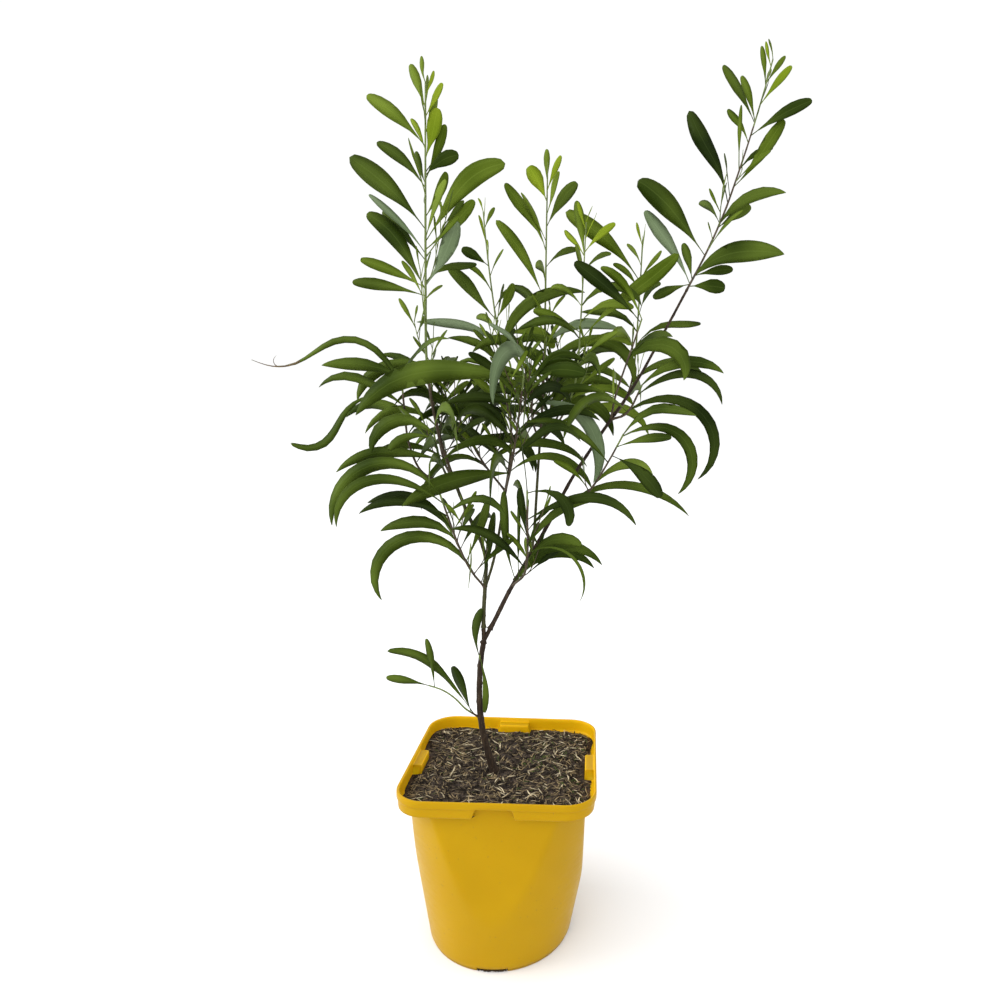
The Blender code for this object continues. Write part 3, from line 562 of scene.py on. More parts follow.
def bed_height(x, y):
    """The mix's uneven top: higher at the back left, level at the trunk's foot."""
    edge = max(abs(x), abs(y)) / FACE_HALF_TOP
    level = SOIL_LEVEL - BED_EDGE_DROP * min(max((edge - BED_EDGE_FROM) / BED_EDGE_SHARE, 0), 1)
    level += BED_SLOPE * (y - x) / (2 * FACE_HALF_TOP)
    away = min(math.hypot(x - TRUNK_FOOT.x, y - TRUNK_FOOT.y) / BED_LEVEL_ROUND_TRUNK, 1)
    lumps, crumbs = Vector((x, y, 0)) * BED_LUMPS, Vector((x, y, 0.3)) * BED_CRUMBS
    return level + BED_ROUGH * (noise.noise(lumps) + 0.6 * noise.noise(crumbs)) * away


def bed_rings():
    """The filling's sides, then rings over the wall's ledge and drawn in over its top."""
    for level in (POT_FLOOR + GAP, shoulder * 0.5, shoulder - 2 * MM):
        yield body_ring(level, WALL + GAP)
    for step in range(BED_RINGS):
        ring = [place * (1 - step / BED_RINGS) for place in rim_ring(BED_HALF, BED_POCKET, SOIL_EDGE)]
        for place in ring:
            place.z = bed_height(place.x, place.y)
        yield ring


MIX_COLOURS = ((0.012, 0.008, 0.006), (0.06, 0.038, 0.022), (0.15, 0.10, 0.06))
MIX_GRAIN, CRUMBLE_GRAIN, CRUMBLE_DEPTH = 320, 500, 1.0 * MM


def bed_finish():
    """Dark damp crumb, matt, with paler bits."""
    made, tree, shader = plain_finish("potting_mix", MIX_COLOURS[1], 0.95)
    grain = object_noise(tree, MIX_GRAIN, 4, 0.7)
    colour = ramp(tree, grain, tuple(zip((0.35, 0.6, 0.8), MIX_COLOURS)))
    tree.links.new(colour, shader.inputs["Base Color"])
    add_bump(tree, shader, object_noise(tree, CRUMBLE_GRAIN, 3, 0.7), 0.8, CRUMBLE_DEPTH)
    return made


bed = add_object("potting_mix", mesh_of("potting_mix", stack_rings(list(bed_rings()))), bed_finish())
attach(bed, "root")
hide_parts("soil")
print("bed of mix:", len(bed.data.polygons), "faces")


# %% Tubes and arrays
def tube_arrays(rings):
    """A closed rod from rings of corners: all its corners, and the faces between them."""
    sides = len(rings[0])
    verts = np.concatenate(rings)
    faces = [tuple(range(sides))[::-1]]
    for ring in range(len(rings) - 1):
        for side in range(sides):
            low, low_next = ring * sides + side, ring * sides + (side + 1) % sides
            faces.append((low, low_next, low_next + sides, low + sides))
    faces.append(tuple(range(len(verts) - sides, len(verts))))
    return verts, faces


class Heap:
    """Collects many small bodies as arrays, and joins them into one mesh."""

    def __init__(self):
        self.verts, self.faces, self.uvs, self.count = [], [], [], 0

    def add(self, verts, faces, uvs=None):
        start = self.count
        self.verts.append(np.asarray(verts, float))
        self.faces.extend(tuple(corner + start for corner in face) for face in faces)
        self.uvs.append(np.zeros((len(verts), 2)) if uvs is None else np.asarray(uvs, float))
        self.count += len(verts)

    def triangles(self):
        return sum(len(face) - 2 for face in self.faces)

    def mesh(self, name):
        mesh = bpy.data.meshes.new(name)
        mesh.from_pydata(np.concatenate(self.verts).tolist(), [], self.faces)
        layer = mesh.uv_layers.new(name="along_and_across")
        corners = np.empty(len(mesh.loops), dtype=np.int32)
        mesh.loops.foreach_get("vertex_index", corners)
        layer.uv.foreach_set("vector", np.concatenate(self.uvs)[corners].astype(np.float32).ravel())
        mesh.shade_smooth()
        return mesh


# %% Straw and bark fibres
FIBRE_KINDS = (
    # name, how many, length from and to, half width from and to (mm), lift (mm), colour
    ("dark_bark_bits", 1900, (3.0, 8.0), (0.4, 1.0), 1.5, (0.015, 0.010, 0.006)),
    ("grey_fibres", 1250, (4.0, 10.0), (0.26, 0.55), 1.4, (0.100, 0.078, 0.050)),
    ("tan_straw", 1050, (4.0, 10.0), (0.3, 0.62), 1.8, (0.27, 0.20, 0.105)),
    ("pale_straw", 190, (5.0, 14.0), (0.4, 0.78), 2.2, (0.52, 0.44, 0.29)),
    ("green_bits", 240, (3.0, 8.0), (0.2, 0.5), 1.8, (0.07, 0.11, 0.02)),
)
# The three rings of a fibre: place along it, and share of its half width.
FIBRE_RINGS = ((-0.5, 0.45), (0.05, 1.0), (0.5, 0.3))
FIBRE_TILT = 0.16
FIBRE_BEND = 0.09
FIBRE_FLATNESS = 0.5
FIBRE_GLOSS = 0.15
FIBRE_DARKER, FIBRE_LIGHTER = 0.55, 1.35
FIBRE_DRIFT_GRAIN, FIBRE_GRAIN, FIBRE_DEPTH = 130, 900, 0.2 * MM
# Green bits lie mostly at the back right: elsewhere this share of them is left out.
GREEN_CORNER, GREEN_CORNER_SHARE = 20 * MM, 0.75


def fibre(draw, x, y, length, half, lift):
    """One bent splinter that lies on the bed: three rings of four corners."""
    turn, tilt = draw.uniform(0, math.pi), draw.gauss(0, FIBRE_TILT)
    flat = math.cos(tilt)
    along = Vector((math.cos(turn) * flat, math.sin(turn) * flat, math.sin(tilt)))
    side = Vector((-math.sin(turn), math.cos(turn), 0))
    over = along.cross(side)
    height = bed_height(x, y) + draw.uniform(0, lift) * MM + abs(math.sin(tilt)) * length / 2
    middle = Vector((x, y, height))
    bend = side * draw.uniform(-FIBRE_BEND, FIBRE_BEND) * length
    rings = []
    for index, (place, wide) in enumerate(FIBRE_RINGS):
        centre = middle + along * place * length + (bend if index == 1 else Vector())
        out, up = side * wide * half, over * wide * half * FIBRE_FLATNESS
        rings.append([centre + out, centre + up, centre - out, centre - up])
    return tube_arrays(rings)


def fibre_finish(name, colour):
    """Dry plant fibre: one colour that drifts from splinter to splinter."""
    made, tree, shader = plain_finish(name, colour, 0.85)
    shader.inputs["Specular IOR Level"].default_value = FIBRE_GLOSS
    dark = tuple(part * FIBRE_DARKER for part in colour)
    light = tuple(min(part * FIBRE_LIGHTER, 1) for part in colour)
    drift = ramp(tree, object_noise(tree, FIBRE_DRIFT_GRAIN, 2), ((0.32, dark), (0.68, light)))
    tree.links.new(drift, shader.inputs["Base Color"])
    add_bump(tree, shader, object_noise(tree, FIBRE_GRAIN, 2), 0.3, FIBRE_DEPTH)
    return made


def lies_free(x, y, length):
    """Whether a fibre of this length keeps clear of the rim's corners and pockets."""
    corner = Vector((max(abs(x) - RIM_STRAIGHT, 0), max(abs(y) - RIM_STRAIGHT, 0)))
    if corner.length > RIM_CORNER - WALL - MM - length / 2:
        return False
    low, high = sorted((abs(x), abs(y)))
    return high <= BED_POCKET - length / 2 or low >= POCKET_FOOT_HALF + length / 2


draw = random.Random(41)
limit = BED_HALF - 2 * MM
for name, count, lengths, halves, lift, colour in FIBRE_KINDS:
    heap = Heap()
    while count:
        x, y = draw.uniform(-limit, limit), draw.uniform(-limit, limit)
        length, half = draw.uniform(*lengths) * MM, draw.uniform(*halves) * MM
        if not lies_free(x, y, length):
            continue
        if name == "green_bits" and x + y < GREEN_CORNER and draw.random() < GREEN_CORNER_SHARE:
            continue
        heap.add(*fibre(draw, x, y, length, half, lift))
        count -= 1
    piece = add_object(name, heap.mesh(name), fibre_finish(name, colour))
    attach(piece, "root")
    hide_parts("soil")
    print(name, heap.triangles(), "triangles")

# %% [markdown]
# ## How the plant grows
# The plant is grown by the same rule as its solids, so that each stem and leaf lies where
# its solid does. A stem leaves its foot along one way and turns to its own slope. It starts
# at the tip of what carries it, or at its side. Sizes are in millimetres and degrees:
# heading 0 points right, 90 away, 180 left and 270 towards the viewer.

# %% Limbs of the plant
TRUNK = dict(length=131, radii=(3.2, 2.3), heading=180, rise=73, end_rise=101)
TRUNK_FIRST_RISE = 72
TRUNK_STEPS = 9
TRUNK_FLARE_HEIGHT = 14 * MM
TRUNK_FLARE_RADIUS = 4.3 * MM
FORK_ARMS = {"trunk_left": dict(length=13, radii=(2.0, 1.9), heading=180, rise=88, end_rise=88),
             "trunk_right": dict(length=13, radii=(2.0, 1.9), heading=2, rise=64, end_rise=64)}
FORK_AT, FORK_STEPS = 0.985, 3
TURN_SHARE = 0.35
SIDE_STEP_BACK = 4
SIDE_ANGLE = 48
LIMB_SIDES = 7
LIMB_STEPS = 6
TWIG_SIDES = 3
TWIG_STEP = 26 * MM
FEWEST_STEPS = 4

BOUGHS = (
    dict(name="left_bough", on="trunk_left", heading=60, rise=86, end_rise=88, length=42, radii=(1.9, 1.8)),
    dict(name="right_bough", on="trunk_right", heading=2, rise=68, end_rise=62, length=50, radii=(2.1, 1.9)),
    dict(name="left_leader", on="left_bough", heading=196, rise=60, end_rise=70, length=97, radii=(1.7, 1.5)),
    dict(name="centre_bough", on="left_bough", side=80, heading=5, rise=80, end_rise=84, length=98,
         radii=(1.3, 1.2)),
    dict(name="right_leader", on="right_bough", heading=6, rise=58, end_rise=66, length=72, radii=(1.8, 1.7)),
    dict(name="middle_bough", on="right_bough", side=85, heading=76, rise=86, end_rise=83, length=148,
         radii=(1.4, 1.2)),
    dict(name="right_middle_leader", on="right_leader", heading=6, rise=60, end_rise=57, length=102,
         radii=(1.6, 1.4)),
    dict(name="right_upper_leader", on="right_middle_leader", heading=6, rise=63, end_rise=64, length=128,
         radii=(1.3, 1.1)),
)


def way_of(heading, slope):
    """The unit vector that a heading and a slope in degrees point along."""
    turn, lift = math.radians(heading), math.radians(slope)
    return Vector((math.cos(lift) * math.cos(turn), math.cos(lift) * math.sin(turn), math.sin(lift)))


def frame_on(across, way):
    """The ways across and over that are square to a way, kept near the last ones."""
    across = (across - way * across.dot(way)).normalized()
    return across, way.cross(across)


def corners_round(point, across, over, radii):
    """Corners round a point, one for each radius."""
    turns = [2 * math.pi * side / len(radii) for side in range(len(radii))]
    return [point + (across * math.cos(turn) + over * math.sin(turn)) * radius
            for turn, radius in zip(turns, radii)]


class Stem:
    """A tapering limb: it leaves its foot along one way and turns to its own slope."""

    def __init__(self, foot, first_way, row, steps):
        self.length = row["length"] * MM
        self.radii = [radius * MM for radius in row["radii"]]
        self.points = [foot]
        self.ways = []
        for step in range(steps + 1):
            share = step / steps
            slope = row["rise"] + (row["end_rise"] - row["rise"]) * share
            turned = min(1, share / TURN_SHARE)
            way = first_way.lerp(way_of(row["heading"], slope), turned).normalized()
            self.ways.append(way)
            if step < steps:
                self.points.append(self.points[-1] + way * (self.length / steps))

    def at(self, share):
        """Point, way and radius at a share of the stem's length."""
        place = min(max(share, 0), 1) * (len(self.points) - 1)
        low = min(int(place), len(self.points) - 2)
        part = place - low
        point = self.points[low].lerp(self.points[low + 1], part)
        radius = self.radii[0] + (self.radii[1] - self.radii[0]) * min(max(share, 0), 1)
        return point, self.ways[low].lerp(self.ways[low + 1], part).normalized(), radius

    def rings(self, sides):
        """The solid's own rings, square to the stem."""
        across = self.ways[0].orthogonal().normalized()
        rings = []
        for index, (point, way) in enumerate(zip(self.points, self.ways)):
            across, over = frame_on(across, way)
            radius = self.at(index / (len(self.points) - 1))[2]
            rings.append(corners_round(point, across, over, [radius] * sides))
        return rings

    def curve(self, step):
        """Points along a smooth curve through the stem's own points, about a step apart."""
        before = self.points[0] * 2 - self.points[1]
        after = self.points[-1] * 2 - self.points[-2]
        marks = [before] + self.points + [after]
        parts = max(2, round(self.length / (len(self.points) - 1) / step))
        places = []
        for index in range(len(self.points) - 1):
            a, b, c, d = marks[index:index + 4]
            for part in range(parts):
                t = part / parts
                places.append(0.5 * (2 * b + (c - a) * t + (2 * a - 5 * b + 4 * c - d) * t * t
                                     + (3 * b - a - 3 * c + d) * t * t * t))
        return places + [self.points[-1]]


def next_foot(carrier, row):
    """Where a stem meets what carries it, and which way it starts."""
    if "side" not in row:
        tip, way, radius = carrier.at(1)
        return tip + way * GAP, way
    back = row.get("back", SIDE_STEP_BACK) * MM
    point, way, radius = carrier.at(1 - back / carrier.length)
    out = way_of(row["side"], 0)
    out = (out - way * out.dot(way)).normalized()
    lean = math.radians(SIDE_ANGLE)
    first_way = out * math.sin(lean) + way * math.cos(lean)
    return point + out * (radius + GAP + row["radii"][0] * MM * math.cos(lean)), first_way


stems = {"trunk": Stem(TRUNK_FOOT, way_of(TRUNK["heading"], TRUNK_FIRST_RISE), TRUNK, TRUNK_STEPS)}
fork_tip, fork_way, _ = stems["trunk"].at(FORK_AT)
for name, row in FORK_ARMS.items():
    stems[name] = Stem(fork_tip - fork_way * MM, way_of(row["heading"], row["rise"]), row, FORK_STEPS)
for row in BOUGHS:
    stems[row["name"]] = Stem(*next_foot(stems[row["on"]], row), row, LIMB_STEPS)
print("tip of the trunk's fork:", [round(part / MM) for part in fork_tip])

# %% [markdown]
# ## Bark
# Young acacia bark is thin and dark brown, with fine lengthwise ridges, small raised pores
# and a swelling wherever a leaf has dropped. On the younger left boughs it is still green.
# The ridges are modelled, because they show against the light at a limb's edge: a ring of
# points is extruded along each limb, and noise that is drawn out lengthwise sets how far
# each point stands out. Each foot swells and sinks into what carries it, as a real collar does.

# %% Bark relief
BARK_SIDES = 22
BARK_STEP = 1.5 * MM
BARK_RELIEF = 0.09
RIDGE_AROUND, RIDGE_ALONG = 2.4, 90
FINE_AROUND, FINE_ALONG, FINE_SHARE = 2.2, 420, 0.6
NODE_SPACING = 17 * MM
NODE_HALF = 1.3 * MM
NODE_SWELL = 0.20
NODE_SHIFT = 0.37
GOLDEN_ANGLE = 137.5
FOOT_SWELL, FOOT_SWELL_LENGTH = 0.45, 5 * MM
FLARE_REACH = 1.6
BARK_GLOSS = 0.2


def limb_rings(stem, sides, step, seed, sunk=0.0, flare=None, relief=BARK_RELIEF):
    """Rings along a limb, each point stood out by ridges, pores and leaf scars."""
    places = stem.curve(step)
    if sunk:
        places = [places[0] - stem.ways[0] * sunk] + places
    across = stem.ways[0].orthogonal().normalized()
    rings, run = [], 0.0
    for index, point in enumerate(places):
        ahead, behind = places[min(index + 1, len(places) - 1)], places[max(index - 1, 0)]
        across, over = frame_on(across, (ahead - behind).normalized())
        run += (point - behind).length
        share = min(run / (stem.length + sunk), 1)
        radius = stem.radii[0] + (stem.radii[1] - stem.radii[0]) * share
        if flare:
            radius += (flare[1] - stem.radii[0]) * max(0, 1 - run / flare[0] / FLARE_REACH)
        else:
            radius *= 1 + FOOT_SWELL * max(0, 1 - run / FOOT_SWELL_LENGTH) ** 2
        nodes_passed = run / NODE_SPACING + seed * NODE_SHIFT
        scar = abs(nodes_passed % 1 - 0.5) * NODE_SPACING
        scar_turn = math.radians(GOLDEN_ANGLE) * int(nodes_passed)
        radii = []
        for side in range(sides):
            turn = 2 * math.pi * side / sides
            around = Vector((math.cos(turn), math.sin(turn), 0)) * RIDGE_AROUND
            ridge = noise.noise(Vector((around.x, around.y, run * RIDGE_ALONG + seed * 7)))
            fine = noise.noise(Vector((around.x * FINE_AROUND, around.y * FINE_AROUND,
                                       run * FINE_ALONG + seed * 3)))
            swell = math.exp(-(scar / NODE_HALF) ** 2) * (0.5 + 0.5 * math.cos(turn - scar_turn))
            radii.append(radius * (1 + relief * (ridge + FINE_SHARE * fine) + NODE_SWELL * swell))
        rings.append(corners_round(point, across, over, radii))
    return rings


BARK_COLOURS = {
    # finish: deep, middle and light colour, roughness
    "brown_bark": ((0.010, 0.006, 0.004), (0.026, 0.016, 0.009), (0.062, 0.040, 0.022), 0.78),
    "green_bark": ((0.018, 0.016, 0.006), (0.042, 0.042, 0.014), (0.090, 0.092, 0.036), 0.7),
    "dry_leaf": ((0.045, 0.030, 0.014), (0.095, 0.062, 0.030), (0.17, 0.12, 0.060), 0.6),
    "brown_stem": ((0.028, 0.020, 0.012), (0.062, 0.044, 0.026), (0.11, 0.085, 0.052), 0.62),
    "green_stem": ((0.080, 0.110, 0.028), (0.125, 0.165, 0.045), (0.19, 0.23, 0.080), 0.5),
}
# How fine each pattern is, in noise cells per metre, and how far it is drawn out along z.
STREAK_GRAIN, STREAK_STRETCH = 480, (1, 1, 0.16)
PORE_GRAIN = 900
CRACK_GRAIN, CRACK_STRETCH, CRACK_DEPTH = 700, (1, 1, 0.2), 0.4 * MM


def bark_finish(name):
    """Thin bark: lengthwise streaks over a drift of colour, with pale pores."""
    deep, mid, light, roughness = BARK_COLOURS[name]
    made, tree, shader = plain_finish(name, mid, roughness)
    shader.inputs["Specular IOR Level"].default_value = BARK_GLOSS
    streaks = ramp(tree, object_noise(tree, STREAK_GRAIN, 3, 0.6, STREAK_STRETCH),
                   ((0.3, deep), (0.52, mid), (0.78, light)))
    pores = ramp(tree, object_noise(tree, PORE_GRAIN, 1), ((0.70, 0.0), (0.76, 0.7)))
    colour = blend_colours(tree, pores, streaks, tuple(min(part * 2.2 + 0.03, 1) for part in light))
    tree.links.new(colour, shader.inputs["Base Color"])
    add_bump(tree, shader, object_noise(tree, CRACK_GRAIN, 3, 0.65, CRACK_STRETCH), 0.6, CRACK_DEPTH)
    return made


brown_bark, green_bark = bark_finish("brown_bark"), bark_finish("green_bark")


def join_limbs(name, parts):
    """One piece from several limbs that grow into each other."""
    whole = bmesh.new()
    for rings in parts:
        part = stack_rings(rings)
        mesh = bpy.data.meshes.new("part")
        part.to_mesh(mesh)
        part.free()
        whole.from_mesh(mesh)
        bpy.data.meshes.remove(mesh)
    return mesh_of(name, whole)


# %% Trunk and boughs
TRUNK_SIDES, TRUNK_STEP = 28, 1.3 * MM
FORK_SIDES, FORK_STEP, FORK_SUNK = 24, 1.0 * MM, 3 * MM
TRUNK_SUNK = 0.5 * MM
TIP_SUNK, SIDE_SUNK = 1.2 * MM, 2.6 * MM

trunk_rings = limb_rings(stems["trunk"], TRUNK_SIDES, TRUNK_STEP, 1,
                         flare=(TRUNK_FLARE_HEIGHT, TRUNK_FLARE_RADIUS))
for corner in trunk_rings[0]:
    corner.z = SOIL_LEVEL - TRUNK_SUNK
fork_rings = [limb_rings(stems[name], FORK_SIDES, FORK_STEP, seed, sunk=FORK_SUNK)
              for seed, name in enumerate(FORK_ARMS, 2)]
trunk = add_object("trunk_bark", join_limbs("trunk_bark", [trunk_rings] + fork_rings), brown_bark)
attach(trunk, "root")
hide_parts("trunk")
for seed, row in enumerate(BOUGHS):
    name = row["name"]
    is_brown = "right" in name
    sunk = SIDE_SUNK if "side" in row else TIP_SUNK
    rings = limb_rings(stems[name], BARK_SIDES, BARK_STEP, seed + 5, sunk=sunk)
    limb = add_object(name + "_bark", mesh_of(name, stack_rings(rings)),
                      brown_bark if is_brown else green_bark)
    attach(limb, "root")
    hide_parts(name)
print("limbs with bark:", 1 + len(BOUGHS))

# %% [markdown]
# ## Shoots and the places of leaves
# Each shoot is a thin stem that carries leaves round it by the golden angle, 137.5 degrees,
# old and long below, young and short at the tip. The leaves that make the plant's outline
# are given by their own sizes. A leaf is turned a little, or skipped, where it would
# meet a limb, another shoot or a neighbour, with the same test as the solids', so the same
# leaves are kept.

# %% Shoots
SHOOTS = (
    dict(name="left_tall_shoot", on="left_leader", heading=250, rise=88, end_rise=89, length=326,
         radii=(1.4, 0.7), leaves=10, start=0.52, first=45, long=(58, 20), rise_out=(50, 74),
         fall=(10, 66), width=(0.15, 0.17), reach=105, seed=3),
    dict(name="left_wave_spray", on="left_leader", side=205, heading=205, rise=78, end_rise=86, length=112,
         radii=(1.1, 0.8), leaves=4, start=0.35, first=260, long=(95, 70), rise_out=(40, 55),
         fall=(-60, -20), width=(0.11, 0.12), reach=200, seed=5),
    dict(name="left_arch_spray", on="left_leader", side=262, heading=248, rise=52, end_rise=74, length=58,
         radii=(1.1, 0.8), leaves=4, start=0.3, first=250, long=(105, 80), rise_out=(40, 50),
         fall=(-90, -50), width=(0.10, 0.12), reach=160, seed=8),
    dict(name="left_low_spray", on="left_bough", side=240, heading=236, rise=60, end_rise=66, length=104,
         radii=(1.1, 0.8), leaves=5, start=0.3, first=285, long=(92, 70), rise_out=(44, 56),
         fall=(-60, -40), width=(0.10, 0.12), reach=165, seed=11),
    dict(name="left_back_spray", on="left_leader", side=110, heading=125, rise=62, end_rise=74, length=108,
         radii=(1.1, 0.8), leaves=14, start=0.25, first=100, long=(110, 60), rise_out=(35, 60),
         fall=(-90, -10), width=(0.085, 0.12), reach=125, seed=13),
    dict(name="centre_front_spray", on="centre_bough", side=280, heading=286, rise=50, end_rise=66, length=128,
         radii=(1.1, 0.8), leaves=14, start=0.15, first=255, long=(108, 62), rise_out=(38, 62),
         fall=(-90, -10), width=(0.09, 0.12), reach=175, seed=17),
    dict(name="small_back_shoot", on="centre_bough", heading=132, rise=64, end_rise=80, length=262,
         radii=(1.1, 0.6), leaves=15, start=0.16, first=35, long=(84, 16), rise_out=(42, 72),
         fall=(-60, 60), width=(0.12, 0.17), reach=112, seed=19),
    dict(name="centre_back_spray", on="centre_bough", side=170, heading=165, rise=52, end_rise=66, length=88,
         radii=(1.1, 0.8), leaves=14, start=0.2, first=80, long=(112, 66), rise_out=(34, 58),
         fall=(-90, -20), width=(0.085, 0.11), reach=135, seed=23),
    dict(name="middle_tall_shoot", on="middle_bough", heading=130, rise=88, end_rise=89, length=252,
         radii=(1.2, 0.6), leaves=11, start=0.06, first=300, long=(96, 20), rise_out=(40, 74),
         fall=(-70, 60), width=(0.12, 0.17), reach=118, seed=29),
    dict(name="second_shoot", on="middle_bough", side=320, heading=280, rise=77, end_rise=84, length=204,
         radii=(1.0, 0.5), leaves=12, start=0.25, first=10, long=(78, 20), rise_out=(40, 62),
         fall=(-60, 50), width=(0.13, 0.17), reach=130, seed=31),
    dict(name="middle_front_spray", on="middle_bough", side=250, heading=276, rise=20, end_rise=50, length=86,
         radii=(1.0, 0.8), leaves=10, start=0.25, first=300, long=(100, 66), rise_out=(36, 60),
         fall=(-85, -20), width=(0.095, 0.12), reach=125, seed=33),
    dict(name="middle_back_spray", on="middle_bough", side=60, heading=62, rise=50, end_rise=66, length=92,
         radii=(1.1, 0.8), leaves=12, start=0.25, first=20, long=(108, 66), rise_out=(36, 60),
         fall=(-85, -10), width=(0.085, 0.11), reach=130, seed=37),
    dict(name="right_foot_spray", on="right_bough", side=280, heading=268, rise=70, end_rise=76, length=108,
         radii=(1.1, 0.8), leaves=4, start=0.3, first=215, long=(84, 70), rise_out=(60, 66),
         fall=(-30, 10), width=(0.10, 0.11), reach=135, seed=41),
    dict(name="right_low_spray", on="right_leader", side=310, heading=328, rise=50, end_rise=64, length=106,
         radii=(1.1, 0.8), leaves=4, start=0.2, first=275, long=(100, 76), rise_out=(34, 52),
         fall=(-60, -20), width=(0.09, 0.11), reach=150, seed=43),
    dict(name="right_arch_spray", on="right_middle_leader", side=320, heading=312, rise=52, end_rise=62,
         length=44, radii=(1.1, 0.8), leaves=2, start=0.35, first=230, long=(96, 80), rise_out=(38, 52),
         fall=(-70, -30), width=(0.10, 0.12), reach=150, seed=47),
    dict(name="right_thin_shoot", on="right_middle_leader", side=85, heading=78, rise=76, end_rise=86,
         length=194, radii=(1.1, 0.6), leaves=14, start=0.15, first=60, long=(96, 18), rise_out=(38, 76),
         fall=(-80, 68), width=(0.11, 0.15), reach=112, seed=53),
    dict(name="right_upper_spray", on="right_middle_leader", side=240, heading=328, rise=68, end_rise=72,
         length=92, radii=(1.0, 0.7), leaves=3, start=0.3, first=250, long=(84, 60), rise_out=(35, 60),
         fall=(-70, -5), width=(0.12, 0.14), reach=130, seed=59),
    dict(name="right_tall_shoot", on="right_upper_leader", heading=8, rise=69.5, end_rise=78, length=210,
         radii=(1.0, 0.6), leaves=7, start=0.30, first=110, long=(50, 18), rise_out=(48, 76),
         fall=(20, 72), width=(0.15, 0.17), reach=105, seed=61),
    dict(name="trunk_left_sprig", on="trunk", back=74, side=205, heading=184, rise=66, end_rise=4, length=54,
         radii=(0.9, 0.7), reach=105),
    dict(name="trunk_front_sprig", on="trunk", back=20, side=262, heading=262, rise=55, end_rise=75, length=6,
         radii=(0.9, 0.8), reach=80),
)

